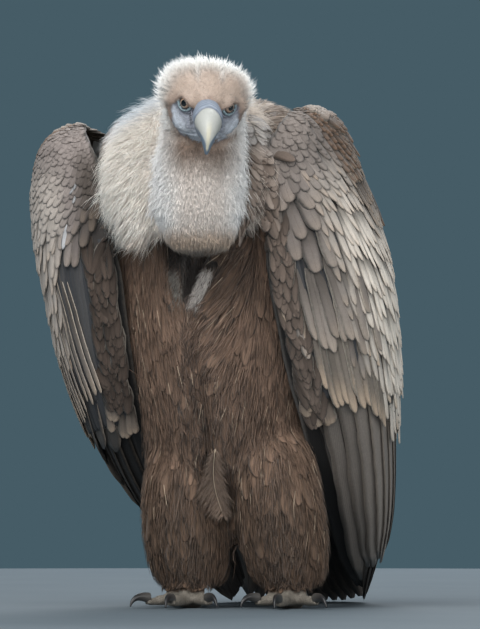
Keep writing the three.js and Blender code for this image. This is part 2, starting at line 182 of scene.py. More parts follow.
WING_ROWS = [  # leading edge, back edge, bulge, thickness
    (126, -50, 547, 127, -44, 547, 1, 6), (114, -80, 528, 130, 2, 545, 22, 20),
    (98, -96, 490, 124, 66, 537, 48, 30), (88, -98, 425, 98, 136, 506, 86, 34),
    (88, -76, 335, 74, 206, 432, 114, 30), (93, -30, 245, 59, 266, 335, 112, 20),
    (96, 40, 165, 50, 312, 230, 94, 13), (91, 150, 82, 47, 342, 115, 66, 9),
    (74, 306, 0, 46, 372, 0, 18, 6),
]
WING_EDGE, BULGE_FORWARD, RIGHT_FLATTER, RIGHT_FULLER = 7, 0.76, 0.27, 26
TAIL_BASE = {"y": 262, "z": 262, "half": 34, "thick": 22}
TAIL_TIP = {"y": 392, "z": 0, "half": 74, "thick": 7}
TAIL_ARCH = 14
TOES = {  # angle, length, half thickness
    "middle": (2, 88, 9.5), "inner": (-34, 58, 9), "outer": (38, 66, 8.5), "back": (176, 40, 8.5),
}


def wing_point(sign, s, w, depth=0.0):
    s, w, depth = np.broadcast_arrays(*(np.asarray(v, float) for v in (s, w, depth)))
    lx, ly, lz, bx, by, bz, bulge, thick = np.moveaxis(through(WING_ROWS, s), -1, 0)
    w = np.clip(w, 0, 1)
    along = (1 - np.cos(np.pi * w)) / 2
    out = np.sin(np.pi * w**BULGE_FORWARD)
    inset = depth * mix(np.minimum(WING_EDGE, thick), thick, out)
    if sign < 0:
        bulge = bulge * (1 - RIGHT_FLATTER * s**2) + RIGHT_FULLER * np.sin(np.pi * np.minimum(2 * s, 1))
    bulged = bulge * out
    x = mix(lx, bx, along) + bulged - inset * mix(0.35, 1, out)
    y = mix(ly, by, along) + inset * 0.75 * np.cos(np.pi * w)
    return in_body(sign * x, y, mix(lz, bz, along))


def wing_frame(sign, s, w):
    """The point on the wing's outer face, the ways that s and w grow there, and the outward normal."""
    step = 0.004
    w = np.clip(w, step, 1 - step)
    s = np.clip(s, step, 1 - step)
    along = wing_point(sign, s + step, w) - wing_point(sign, s - step, w)
    across = wing_point(sign, s, w + step) - wing_point(sign, s, w - step)
    normal = unit(np.cross(along, across)) * sign
    return wing_point(sign, s, w), along / (2 * step), across / (2 * step), normal


def covert_end(w):
    return 0.53 + 0.2 * np.sin(np.pi * w**0.9)


def secondary_end(w):
    return 0.94 - 0.15 * w**2


# ---------------------------------------------------------------- meshes
def around(sides):
    return np.arange(sides) * 2 * np.pi / sides


def sections(rows, steps, sides, place, square=1.0):
    """Rings across an axis: rows of (w, centre u, centre v, half u, half v)."""
    w, cu, cv, hu, hv = np.moveaxis(through(rows, np.linspace(0, 1, steps + 1)), -1, 0)[..., None]
    a = around(sides)
    filled = lambda v: np.sign(v) * np.abs(v) ** square
    u, v = cu + hu * filled(np.cos(a)), cv + hv * filled(np.sin(a))
    return place(u, v, np.broadcast_to(w, u.shape))


def tube(rows, steps, sides, place, hint, shape=None):
    """Rings along a bent path: rows of (x, y, z, half width, half height) in the frame of place."""
    t = np.linspace(0, 1, steps + 1)
    centre = lambda t: place(through(rows, t)[..., :3])
    ahead = unit(centre(np.minimum(t + 0.01, 1)) - centre(np.maximum(t - 0.01, 0)))
    across = unit(np.cross(ahead, hint))
    up = np.cross(across, ahead)
    a = np.broadcast_to(around(sides), (steps + 1, sides))
    wide, high = through(rows, t)[..., 3:].T[..., None]
    x, y = wide * np.cos(a), high * np.sin(a)
    if shape:
        x, y = shape(t[:, None], a, x, y)
    return centre(t)[:, None] + across[:, None] * x[..., None] + up[:, None] * y[..., None]


def closed(rings):
    """Points and faces of the closed surface over rings."""
    n, sides = rings.shape[:2]
    i, j = np.meshgrid(np.arange(n - 1), np.arange(sides), indexing="ij")
    a, b = i * sides + j, i * sides + (j + 1) % sides
    quads = np.stack([a, b, b + sides, a + sides], -1).reshape(-1, 4)
    ends = rings[[0, -1]].mean(1)
    points = np.concatenate([rings.reshape(-1, 3), ends])
    j = np.arange(sides)
    near = np.stack([np.full(sides, n * sides), (j + 1) % sides, j], -1)
    last = (n - 1) * sides
    far = np.stack([np.full(sides, n * sides + 1), last + j, last + (j + 1) % sides], -1)
    return points, [quads, np.concatenate([near, far])]


def slab(rows, columns, surface):
    """Points and faces of a closed curved plate: surface(i, j, depth) with i and j from 0 to 1."""
    i, j = np.meshgrid(np.linspace(0, 1, rows + 1), np.linspace(0, 1, columns + 1), indexing="ij")
    outer, inner = surface(i, j, 0.0), surface(i, j, 1.0)
    ring = np.concatenate([outer, inner[:, ::-1]], 1)
    return closed(ring)


def new_mesh(name, points, faces):
    mesh = bpy.data.meshes.new(name)
    corners = np.concatenate([f.ravel() for f in faces]).astype(np.int32)
    sizes = np.concatenate([np.full(len(f), f.shape[1]) for f in faces])
    mesh.vertices.add(len(points))
    mesh.vertices.foreach_set("co", ((points + SHIFT) * MM).astype(np.float32).ravel())
    mesh.loops.add(len(corners))
    mesh.loops.foreach_set("vertex_index", corners)
    mesh.polygons.add(len(sizes))
    starts = np.concatenate([[0], np.cumsum(sizes)[:-1]]).astype(np.int32)
    mesh.polygons.foreach_set("loop_start", starts)
    mesh.update(calc_edges=True)
    mesh.polygons.foreach_set("use_smooth", np.ones(len(sizes), bool))
    return mesh


def set_point(mesh, name, kind, values):
    key = "color" if kind == "FLOAT_COLOR" else "vector"
    mesh.attributes.new(name, kind, "POINT").data.foreach_set(key, values.astype(np.float32).ravel())


def set_tint(mesh, rgb):
    """A colour for each vertex, with an alpha of 1."""
    set_point(mesh, "tint", "FLOAT_COLOR", np.concatenate([rgb, np.ones((len(rgb), 1))], 1))


def set_bake(mesh, uv):
    """The bake map, OFBake, from a place for each vertex."""
    corners = np.zeros(len(mesh.loops), np.int32)
    mesh.loops.foreach_get("vertex_index", corners)
    mesh.uv_layers.new(name="OFBake").uv.foreach_set("vector", uv[corners].astype(np.float32).ravel())


def read(mesh):
    """Vertex places and normals, in the design frame."""
    n = len(mesh.vertices)
    co, no = np.zeros(n * 3, np.float32), np.zeros(n * 3, np.float32)
    mesh.vertices.foreach_get("co", co)
    mesh.vertices.foreach_get("normal", no)
    return co.reshape(-1, 3).astype(float) / MM - SHIFT, no.reshape(-1, 3).astype(float)


def write(mesh, points):
    mesh.vertices.foreach_set("co", ((points + SHIFT) * MM).astype(np.float32).ravel())
    mesh.update()


def above_floor(points, gap):
    """Lifts what has sunk to less than a gap above the floor."""
    points[..., 2] = np.maximum(points[..., 2], gap)


def show(name, mesh, material, slot, *nodes):
    piece = bpy.data.objects.new(name, mesh)
    bpy.context.scene.collection.objects.link(piece)
    mesh.materials.clear()
    mesh.materials.append(material)
    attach(piece, "root")
    if nodes:
        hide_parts(*nodes)
    return piece


# ---------------------------------------------------------------- materials
class Paint:
    """A procedural material, put together node by node."""

    def __init__(self, name, roughness, **inputs):
        self.material = bpy.data.materials.new(name)
        self.material.use_nodes = True
        self.nodes = self.material.node_tree.nodes
        self.links = self.material.node_tree.links
        self.shader = self.nodes["Principled BSDF"]
        self.shader.inputs["Roughness"].default_value = roughness
        for key, value in inputs.items():
            self.shader.inputs[key.replace("_", " ")].default_value = value

    def node(self, kind, settings=None, **inputs):
        """A node; its inputs go by name, or by number as i0, i1, and take a value or another output."""
        n = self.nodes.new("ShaderNode" + kind)
        for key, value in (settings or {}).items():
            setattr(n, key, value)
        for key, value in inputs.items():
            numbered = key[0] == "i" and key[1:].isdigit()
            socket = n.inputs[int(key[1:]) if numbered else key.replace("_", " ")]
            if isinstance(value, bpy.types.NodeSocket):
                self.links.new(value, socket)
            else:
                socket.default_value = (*value, 1) if socket.type == "RGBA" else value
        return n

    def place(self):
        return self.node("TexCoord").outputs["Object"]

    def attribute(self, name):
        return self.node("Attribute", {"attribute_name": name})

    def maths(self, operation, a, b=0.0, c=0.0, clamp=False):
        return self.node("Math", {"operation": operation, "use_clamp": clamp}, i0=a, i1=b, i2=c).outputs[0]

    def ramp(self, value, low, high, to_low=0.0, to_high=1.0):
        reach = {"From_Min": low, "From_Max": high, "To_Min": to_low, "To_Max": to_high}
        return self.node("MapRange", {"interpolation_type": "SMOOTHSTEP"}, Value=value, **reach).outputs[0]

    def blend(self, share, a, b, kind="MIX"):
        return self.node("Mix", {"data_type": "RGBA", "blend_type": kind}, i0=share, i6=a, i7=b).outputs[2]

    def shaded(self, tint, shade):
        """The tint times a grey shade."""
        grey = self.node("CombineColor", None, Red=shade, Green=shade, Blue=shade).outputs[0]
        return self.blend(1.0, tint.outputs["Color"], grey, "MULTIPLY")

    def noise(self, scale, detail=3.0, vector=None):
        source = vector or self.place()
        n = self.node("TexNoise", None, Vector=source, Scale=scale, Detail=detail, Roughness=0.55)
        return n.outputs["Fac"]

    def finish(self, base, height=None, distance=0.001, strength=0.5):
        self.links.new(base, self.shader.inputs["Base Color"])
        if height is not None:
            bump = self.node("Bump", None, Height=height, Distance=distance, Strength=strength)
            self.links.new(bump.outputs[0], self.shader.inputs["Normal"])
        return self.material


def feather_material(name, roughness, shaft, shaft_width, shaft_share, fringe, barbs, contrast, under=0.0):
    """Vanes: the tint of each feather, its shaft, slanting barbs and a worn fringe. under darkens the
    edge that lies below the next feather: painted shade, and on the quills partly their darker inner vane."""
    p = Paint(name, roughness, Specular_IOR_Level=0.25, Sheen_Weight=0.08, Sheen_Roughness=0.5)
    tint, vane = p.attribute("tint"), p.attribute("vane")
    xyz = p.node("SeparateXYZ", None, Vector=vane.outputs["Vector"])
    x, y = xyz.outputs[0], xyz.outputs[1]
    off = p.maths("ABSOLUTE", x)
    slant = p.maths("SUBTRACT", p.maths("MULTIPLY", y, barbs), p.maths("MULTIPLY", off, barbs * 0.16))
    wander = p.noise(700.0, 2.0)
    barb = p.maths("SINE", p.maths("ADD", slant, p.maths("MULTIPLY", wander, 9.0)))
    barb = p.maths("MULTIPLY_ADD", barb, 0.5, 0.5)
    mottle = p.noise(260.0, 3.0)
    shade = p.maths("MULTIPLY_ADD", p.maths("MULTIPLY", barb, mottle), contrast * 1.6, 1 - contrast * 0.45)
    # painted shade on the edge under the next feather, on quills partly the darker inner vane
    if under:
        shade = p.maths("MULTIPLY", shade, p.ramp(x, -1.0, -0.3, 1 - under, 1.0))
    base = p.shaded(tint, shade)
    worn = p.ramp(p.maths("ADD", off, p.maths("MULTIPLY", mottle, 0.25)), 0.86, 1.12)
    base = p.blend(p.maths("MULTIPLY", worn, tint.outputs["Alpha"]), base, fringe)
    rachis = p.maths("MULTIPLY", p.ramp(off, shaft_width, shaft_width * 0.35), shaft_share)
    base = p.blend(rachis, base, shaft)
    height = p.maths("ADD", p.maths("MULTIPLY", barb, 0.3), p.ramp(off, shaft_width * 2, 0.0))
    return p.finish(base, height, 0.0005, 0.4)


def down_material(name, contrast=0.25, sheen=0.25):
    """Fine down: each tuft's own tint with a slight streak."""
    p = Paint(name, 0.95, Specular_IOR_Level=0.1, Sheen_Weight=sheen, Sheen_Roughness=0.6)
    tint = p.attribute("tint")
    return p.finish(p.shaded(tint, p.maths("MULTIPLY_ADD", p.noise(900.0, 2.0), contrast * 2, 1 - contrast)))


def skin_material():
    """The skin: bare and pebbled where alpha is 1 (face, feet), matt under the coat."""
    p = Paint("skin", 0.55, Specular_IOR_Level=0.35)
    tint = p.attribute("tint")
    cells = p.node("TexVoronoi", {"feature": "DISTANCE_TO_EDGE"}, Vector=p.place(), Scale=620.0)
    pebble = p.ramp(cells.outputs["Distance"], 0.0, 0.22)
    mottle = p.noise(330.0, 4.0)
    shade = p.maths("MULTIPLY_ADD", p.maths("MULTIPLY", pebble, mottle), 0.75, 0.72)
    base = p.blend(tint.outputs["Alpha"], tint.outputs["Color"], p.shaded(tint, shade))
    height = p.maths("MULTIPLY", p.maths("ADD", pebble, mottle), tint.outputs["Alpha"])
    return p.finish(base, height, 0.0008, 0.55)


def horn_material(name, roughness):
    """Horn: the tint along the bill with faint growth lines and scuffs."""
    p = Paint(name, roughness, Specular_IOR_Level=0.45, Coat_Weight=0.15, Coat_Roughness=0.3)
    tint = p.attribute("tint")
    stretched = p.node("Mapping", None, Vector=p.place(), Scale=(900.0, 160.0, 500.0)).outputs[0]
    grain = p.noise(1.0, 4.0, stretched)
    scuff = p.noise(420.0, 4.0)
    shade = p.maths("MULTIPLY_ADD", p.maths("ADD", grain, scuff), 0.14, 0.87)
    return p.finish(p.shaded(tint, shade), p.maths("ADD", grain, scuff), 0.0004, 0.35)


# ---------------------------------------------------------------- the skin
def head_place(u, v, w):
    return in_head(np.stack([u, w, v], -1))


def upright(u, v, w):
    return np.stack([u, v, w], -1)


def in_toe(sign, toe):
    a = math.radians(TOES[toe][0]) * sign

    def place(p):
        side, forward, up = np.moveaxis(np.asarray(p, float), -1, 0)
        x = sign * FOOT_SIDE + forward * math.sin(a) + side * math.cos(a)
        return in_body(x, FOOT_Y - forward * math.cos(a) + side * math.sin(a), up)

    return place


def toe_rings(sign, toe):
    _, length, half = TOES[toe]
    rows = []
    for i in range(8):  # pads and the joints between them, in turn
        t = i / 7
        size = half * (1 if i % 2 else 0.86) * (1 - 0.22 * t)
        rows.append((0, mix(-8, length, t), 7.5 + 3.5 * (1 - t), size, size))
    return tube(rows, 28, 20, in_toe(sign, toe), UP)


def flesh():
    """The soft parts that the skin joins, each as (name, points, faces)."""
    yield "head", *closed(sections(HEAD_SECTIONS, 60, 64, head_place, 0.9))
    yield "neck", *closed(sections(NECK_LEVELS, 50, 56, upright))
    yield "ruff", *closed(tube(RUFF_PATH, 80, 40, lambda p: p, RUFF_HINT))
    yield "trunk", *closed(sections(TRUNK_LEVELS, 80, 90, in_body))
    for side, sign in SIDES.items():
        mirrored = lambda u, v, w, sign=sign: in_body(sign * u, v, w)
        yield "thigh_" + side, *closed(sections(THIGH_LEVELS, 40, 48, mirrored))
        yield "foot_" + side, *closed(sections(SHANK_LEVELS, 12, 24, mirrored))
        for toe in TOES:
            yield "foot_" + side, *closed(toe_rings(sign, toe))
        arm = lambda i, j, depth, sign=sign: wing_point(sign, i * covert_end(j), j, depth)
        yield "wing_" + side, *slab(60, 60, arm)


def joined(parts):
    points, faces, names, base = [], [], [], 0
    for name, p, fs in parts:
        points.append(p)
        faces += [f + base for f in fs]
        names += [name] * sum(len(f) for f in fs)
        base += len(p)
    return np.concatenate(points), faces, names


def smoothed(values, edges, rounds):
    """Each value moves to the mean of its neighbours, over and over."""
    n = len(values)
    a, b = edges.T
    count = np.maximum(np.bincount(a, minlength=n) + np.bincount(b, minlength=n), 1)
    flat = values.reshape(n, -1).astype(float).copy()
    for _ in range(rounds):
        total = np.stack([np.bincount(a, c[b], n) + np.bincount(b, c[a], n) for c in flat.T], -1)
        flat = total / count[:, None]
    return flat.reshape(values.shape)


def edges_of(mesh):
    edges = np.zeros(len(mesh.edges) * 2, np.int32)
    mesh.edges.foreach_get("vertices", edges)
    return edges.reshape(-1, 2)


def brow_line(side):
    """How high the lower edge of the downy brow stands, in the head frame."""
    s = np.abs(side)
    over_eye = np.minimum(6.4 + 0.8 * (s - 27.5), 9.5 - 1.1 * (s - 32))
    over_cere = 9.5 - (s / 11.5) ** 2 * 13
    return np.where(s > 12.5, np.maximum(over_eye, -7 + 0.25 * (s - 12)), over_cere)


def outside_face(h):
    """How far a point of the head lies outside the bare face, in mm; negative on bare skin."""
    side, forward, up = np.moveaxis(h, -1, 0)
    wobble = 1.1 * np.sin(0.31 * side + 0.5) * np.sin(0.27 * up + 1)
    wobble = wobble + 0.5 * np.sin(0.9 * side) * np.sin(0.8 * up)
    round_edge = ((np.abs(side) / 37.5) ** 2.8 + (np.abs(up + 16.5) / 26) ** 2.8) ** (1 / 2.8) - 1
    return np.maximum(np.maximum(up - brow_line(side), 30 * round_edge), -22 - forward) + wobble


def shaggy(h):
    """0 by the bare face, where the down is short, and 1 where it is long: crown, cheeks and nape."""
    side, forward, up = np.moveaxis(h, -1, 0)
    crown = smooth(24, 44, up - brow_line(side))
    cheek = smooth(38, 52, np.abs(side))
    nape = smooth(-8, -30, forward)
    return np.maximum(np.maximum(crown, cheek), nape) * smooth(0, 7, outside_face(h))


def cleft_x(z):
    """The middle of the cleft that parts the belly's feathers, from the crop to between the legs."""
    return np.interp(z, [60, 112, 189, 343, 385], [10, 0, -11, -30, -18])


def crop_hole(places):
    """1 in the dark hollow below the bib, a wedge that ends in the cleft."""
    x, y, z = places.T
    t = np.clip((396 - z) / 50, 0, 1)
    across = np.abs(x + 19 + 15 * t) / (15 - 12 * t)
    return smooth(1.25, 0.75, across) * smooth(344, 350, z) * (z < 400) * (y < 0)


def above_crop(places):
    """1 from the hollow up to under the bib, where feathers would hang over it."""
    x, y, z = places.T
    return (np.abs(x + 24) < mix(10, 29, np.clip((z - 345) / 40, 0, 1))) * (z > 340) * (z < 480) * (y < 0)


def crop_share(places):
    """1 in the hollow and on the whitish down on both sides of it."""
    x, y, z = places.T
    t = (380 - z) / 42
    right, left = np.abs(x + 8 + 14 * t) / 9, np.abs(x + 46 - 5 * t) / 7
    down = smooth(1.25, 0.6, np.minimum(right, left)) * smooth(332, 344, z) * smooth(386, 374, z) * (y < 0)
    return np.maximum(crop_hole(places), down)


def cleft_depth(places):
    """How far the cleft and the hollow are sunk into the belly."""
    x, y, z = places.T
    off = np.abs(x - cleft_x(z))
    front = smooth(60, 10, y)
    cleft = 10 * hump(off / 9) * smooth(85, 120, z) * smooth(372, 340, z)
    return (cleft + 15 * crop_hole(places)) * front


VOXEL = 0.0047
COAT_DEPTH = {"neck": 8, "ruff": 9, "trunk": 8, "thigh": 8, "wing": 2.5, "foot": 0}
points, faces, face_names = joined(flesh())
flesh_mesh = new_mesh("flesh", points, faces)
solid = bpy.data.objects.new("flesh", flesh_mesh)
bpy.context.scene.collection.objects.link(solid)
remesh = solid.modifiers.new("Remesh", "REMESH")
remesh.mode = "VOXEL"
remesh.voxel_size = VOXEL
skin = bpy.data.meshes.new_from_object(solid.evaluated_get(bpy.context.evaluated_depsgraph_get()))
bpy.data.objects.remove(solid)
skin.name = "skin"

triangles = [tuple(t) for f in faces for t in f]
flesh_tree = BVHTree.FromPolygons([tuple(p) for p in points], triangles)


def part_of(places):
    """The name of the soft part nearest to each place."""
    found = [flesh_tree.find_nearest(p)[2] for p in places]
    return np.array([face_names[i] for i in found])


def kind_of(part):
    return np.array([p.split("_")[0] for p in part])


def head_depth(h):
    return mix(0.0, mix(2.5, 11.0, shaggy(h)), smooth(-0.5, 2, outside_face(h)))


edges = edges_of(skin)
co, normal = read(skin)
for _ in range(8):  # shrink and swell in turn, which takes off the steps and keeps the size
    co = mix(co, smoothed(co, edges, 1), 0.6)
    co = mix(co, smoothed(co, edges, 1), -0.62)
co = mix(co, smoothed(co, edges, 1), 0.5)
part = part_of(co)
root_part = kind_of(part)
depth = np.select([root_part == k for k in COAT_DEPTH], [float(v) for v in COAT_DEPTH.values()])
depth = np.where(root_part == "head", head_depth(to_head(co)), depth)
belly = np.isin(root_part, ["trunk", "thigh"])
nape_top = 15 * (root_part == "neck") * smooth(556, 586, co[:, 2])  # the nape rounds off under longer down
depth = smoothed(depth + np.where(belly, cleft_depth(co), 0) + nape_top, edges, 4)
write(skin, co)
co, normal = read(skin)
co = co - normal * depth[:, None]
above_floor(co, SKIN_GAP)
write(skin, co)


def refine(mesh, chosen, cuts):
    """Cuts the faces whose middle is chosen into smaller ones."""
    bm = bmesh.new()
    bm.from_mesh(mesh)
    middles = np.array([f.calc_center_median() for f in bm.faces]) / MM - SHIFT
    bm.faces.ensure_lookup_table()
    picked = {e for i in np.flatnonzero(chosen(middles)) for e in bm.faces[i].edges}
    bmesh.ops.subdivide_edges(bm, edges=list(picked), cuts=cuts, use_grid_fill=True, smooth=0.0)
    bmesh.ops.triangulate(bm, faces=[f for f in bm.faces if len(f.verts) > 4])
    bm.to_mesh(mesh)
    bm.free()
    mesh.update()


def face_zone(places, reach):
    h = to_head(places)
    return (outside_face(h) < reach) & (h[:, 1] > -32) & (h[:, 1] < 40)


def eye_centre(sign):
    return EYE_PLACE * np.array([sign, 1, 1])


def eye_aim(sign):
    return EYE_AIM * np.array([sign, 1, 1])


refine(skin, lambda p: face_zone(p, 9), 1)
refine(skin, lambda p: face_zone(p, 5), 1)
refine(skin, lambda p: p[:, 2] < 26, 1)
edges = edges_of(skin)
co, normal = read(skin)
near = face_zone(co, 14) | (co[:, 2] < 30)
eased = smoothed(co, edges, 3)
co[near] = eased[near]
write(skin, co)


def sculpt_face(co, normal):
    """Lids, brow, lores, cheeks, the corner of the mouth and fine folds, in the head frame."""
    h = to_head(co)
    side, forward, up = h.T
    s = np.abs(side)
    off = outside_face(h)
    front = smooth(-30, -18, forward) * (h[:, 1] < 40)
    brow = 4.2 * hump((off - 3.0) / 4.5) * smooth(9, 16, s) * smooth(-12, -2, up)
    lore = 3.0 * hump((s - 15) / 5, (up + 4) / 7)
    cheek = 2.2 * hump((s - 23) / 9, (up + 26) / 9)
    arc = up + 14.5 - 3.2 * np.sin((s - 10) / 22 * np.pi)  # a fold under the eye, over the cheek
    fold = (1.3 * hump((arc + 1.6) / 1.7) - 1.6 * hump(arc)) * smooth(9, 13, s) * smooth(35, 29, s)
    gape = up + 30 + 0.30 * (s - 14)  # the line of the mouth
    mouth = (0.8 * hump((gape + 2.4) / 1.6) - 1.3 * hump(gape / 0.9)) * smooth(6, 10, s) * smooth(31, 24, s)
    lift = (brow - lore + cheek + fold + mouth) * front
    ripple = np.sin(0.9 * up + 0.5 * s + 1.8 * np.sin(0.35 * s + 0.11 * up)) * np.sin(0.53 * s - 0.35 * up)
    lift += 0.28 * ripple * (off < 1) * front
    lift -= 1.2 * smooth(16, 22, forward) * front
    moved = co + normal * lift[:, None]
    for sign in SIDES.values():
        centre, aim = eye_centre(sign), eye_aim(sign)
        ray = to_head(moved) - centre
        reach = np.linalg.norm(ray, axis=1)
        angle = np.degrees(np.arccos(np.clip(dot(unit(ray), aim), -1, 1)))
        wave = 0.65 * np.sin((angle - 43) / 3.1 * np.pi) * smooth(43, 47, angle) * smooth(74, 58, angle)
        below = smooth(7, -5, unit(ray)[:, 2] * 12)
        swell = 0.6 * np.sin(np.clip((angle - LID_ANGLE) / 9, 0, 1) * np.pi)
        lid = 13.7 + swell + wave * (0.6 + 0.7 * below)
        goal = np.where(angle < LID_ANGLE, 11.2, lid)
        hold = smooth(74, 47, angle) * (reach < 30)
        brow = smooth(-0.8, 0.8, off)  # the brow hangs over the upper lid like a ledge
        goal = mix(goal, 16.2, brow)
        hold = mix(hold, smooth(66, 52, angle) * (reach < 30), brow)
        moved = in_head(centre + unit(ray) * mix(reach, goal, hold)[:, None])
    return moved


co, normal = read(skin)
zone = face_zone(co, 12)
co[zone] = sculpt_face(co, normal)[zone]
above_floor(co, SKIN_GAP)
write(skin, co)


def sculpt_feet(co, normal):
    """Scutes across the tops of the toes."""
    lift = np.zeros(len(co))
    for sign in SIDES.values():
        for toe, (_, length, half) in TOES.items():
            place = in_toe(sign, toe)
            start, end = place((0, 0, 8)), place((0, length, 8))
            axis = unit(end - start)
            run = (co - start) @ axis
            gap = np.linalg.norm((co - start) - run[:, None] * axis, axis=1)
            mine = (gap < half + 5) & (run > 4) & (run < length + 4)
            scute = np.abs(np.sin(np.pi * run / 4.6)) ** 0.5
            top = smooth(6, 12, co[:, 2])
            lift = np.where(mine, (1.1 * scute - 0.7) * top, lift)
    return co + normal * lift[:, None]


co, normal = read(skin)
low = co[:, 2] < 30
co[low] = sculpt_feet(co, normal)[low]
above_floor(co, SKIN_GAP)
write(skin, co)
co, normal = read(skin)
part, outer = part_of(co), part_of(co + normal * COAT_DEPTH["ruff"])
soft = ["trunk", "neck", "ruff"]
part = np.where(np.isin(part, soft) & np.isin(outer, soft), outer, part)  # not a solid that is hidden inside
root_part = kind_of(part)

# ---------------------------------------------------------------- markings, shared by skin and coat
# the third colour, under the chin, is painted brownish shade under the bill
FOREHEAD, CROWN, THROAT_SHADE = colour(180, 161, 147), colour(253, 251, 247), colour(136, 115, 100)
FACE, FACE_DARK = colour(208, 215, 225), colour(92, 94, 104)
CERE, LID = colour(132, 142, 157), colour(160, 184, 192)
BIB, BIB_LOW = colour(252, 242, 234), colour(206, 184, 164)
RUFF_PALE, RUFF_DARK = colour(253, 243, 233), colour(176, 163, 150)
# the third is the body's brown in painted shade, for the lower body
BODY, BODY_DARK, BODY_LOW_SHADE = colour(131, 107, 91), colour(74, 58, 47), colour(101, 82, 68)
# the first is the mantle's pale grey, a painted bluish highlight over its feathers
MANTLE_HIGHLIGHT, SCAPULAR = colour(196, 199, 200), colour(150, 138, 128)
REMIGE, PRIMARY, BUFF = colour(120, 112, 105), colour(38, 37, 37), colour(200, 176, 152)
SCUTE = colour(120, 114, 105)


def head_marking(places):
    """The colour of the head's down at a place, with painted shade along the bare face's edge and under the
    bill.
    """
    h = to_head(places)
    side, forward, up = h.T
    off = outside_face(h)[:, None]
    buff = mix(FOREHEAD, CROWN, shaggy(h)[:, None] ** 1.5)
    # painted shade on the down along the bare face's edge
    face_edge_shade = mix(colour(140, 119, 107), buff, smooth(-1, 9, off) ** 0.6)
    # painted brownish shade under the bill, on the down below the jaw
    under = (smooth(-32, -44, up) * smooth(34, 16, np.abs(side)) * smooth(-14, 6, forward))[:, None]
    return mix(face_edge_shade, THROAT_SHADE, under)


def neck_marking(places):
    """White down, whitest at the sides, with painted brownish shade under the chin, below the bill, and
    brown along the foot of the bib.
    """
    x, y, z = places.T
    off_middle = np.abs(x + 15)
    # painted brownish shade under the bill, on the neck below the chin
    chin = smooth(465, 515, z) * smooth(560, 540, z) * smooth(46, 18, off_middle) * smooth(-120, -140, y)
    white = mix(BIB * 0.86, colour(255, 253, 251), smooth(14, 44, off_middle)[:, None])
    foot = mix(mix(white, BIB_LOW, smooth(432, 408, z)[:, None]), BODY_DARK, smooth(406, 392, z)[:, None])
    return mix(foot, THROAT_SHADE, chin[:, None])


def ruff_marking(places):
    """Cream, with a painted bluish highlight where it faces away to the bird's right, and browner on its
    left.
    """
    x, _, z = places.T
    left = smooth(-5, 30, x)[:, None]
    low = smooth(430, 395, z)[:, None]
    # a painted bluish highlight on the upper outer part towards the bird's right
    blue = (smooth(30, -4, x + 126 - 1.42 * (z - 519)) * smooth(485, 510, z))[:, None]
    right_tone = mix(mix(RUFF_PALE, BIB_LOW, low), colour(205, 213, 220), blue)
    return mix(right_tone, mix(RUFF_PALE, RUFF_DARK, 0.55), left)


def body_marking(places):
    """Brown, darker low down as painted shade, by the crop and in the cleft, with a pale mantle on the hump
    that is a painted bluish highlight towards the bird's right.
    """
    x, y, z = places.T
    back = (smooth(500, 560, z) * smooth(-60, -20, y) * smooth(80, -5, y))[:, None]
    crop = (smooth(340, 372, z) * smooth(-40, -80, y) * smooth(70, 40, np.abs(x + 5)))[:, None]
    parting = hump((x - cleft_x(z)) / 9) * smooth(60, 0, y) * smooth(90, 130, z) * smooth(350, 320, z)
    # darker low down: painted shade where less light reaches the belly
    base = mix(BODY, BODY_LOW_SHADE, smooth(280, 90, z)[:, None])
    base = mix(mix(base, BODY_DARK, crop * 0.8), BODY_DARK, parting[:, None] * 0.6)
    # the hump: a painted pale bluish highlight towards the bird's right, grey-brown towards its left
    return mix(base, mix(MANTLE_HIGHLIGHT, SCAPULAR * 1.3, smooth(-20, 60, x)[:, None]), back)


def face_marking(h):
    """The bare face, for places in the head frame: dark lores, folds and edge and a darker ring round each
    eye, all painted shade, with a grey-blue cere and lids.
    """
    side, _, up = h.T
    s = np.abs(side)
    # painted shade in the lores
    lore = hump((s - 15) / 5, (up + 7) / 10)[:, None]
    bare = mix(FACE, FACE_DARK, np.clip(lore * 1.1, 0, 1))
    bare = mix(bare, CERE, (smooth(15, 10, s) * smooth(-12, -2, up))[:, None])
    bare = mix(bare, FACE_DARK, 0.4 * (smooth(-28, -40, up) * smooth(8, 20, s))[:, None])
    blotch = np.sin(0.55 * side + 2 * np.sin(0.23 * up)) * np.sin(0.5 * up + 1.6 * np.sin(0.3 * side))
    bare = mix(bare, FACE_DARK * 1.3, 0.34 * smooth(0.0, 0.9, blotch)[:, None])
    # painted shadow along the edge, under the down that overhangs it
    bare = mix(bare, FACE_DARK, 0.7 * smooth(-3.0, 0.5, outside_face(h))[:, None])
    for sign in SIDES.values():
        ray = unit(h - eye_centre(sign))
        angle = np.degrees(np.arccos(np.clip(dot(ray, eye_aim(sign)), -1, 1)))
        fold = 0.5 + 0.5 * np.sin((angle - 43) / 3.1 * np.pi)  # the folds round the lids: painted shade in them, lighter on their ridges
        # painted shade round the eye
        bare = mix(bare, FACE_DARK * mix(0.5, 2.2, fold)[:, None], (0.85 * smooth(74, 52, angle))[:, None])
        bare = mix(bare, LID, (smooth(46, 43, angle) * smooth(LID_ANGLE, LID_ANGLE + 2, angle))[:, None])
        bare = mix(bare, colour(24, 26, 30), smooth(LID_ANGLE + 1.5, LID_ANGLE - 0.5, angle)[:, None])
    return bare


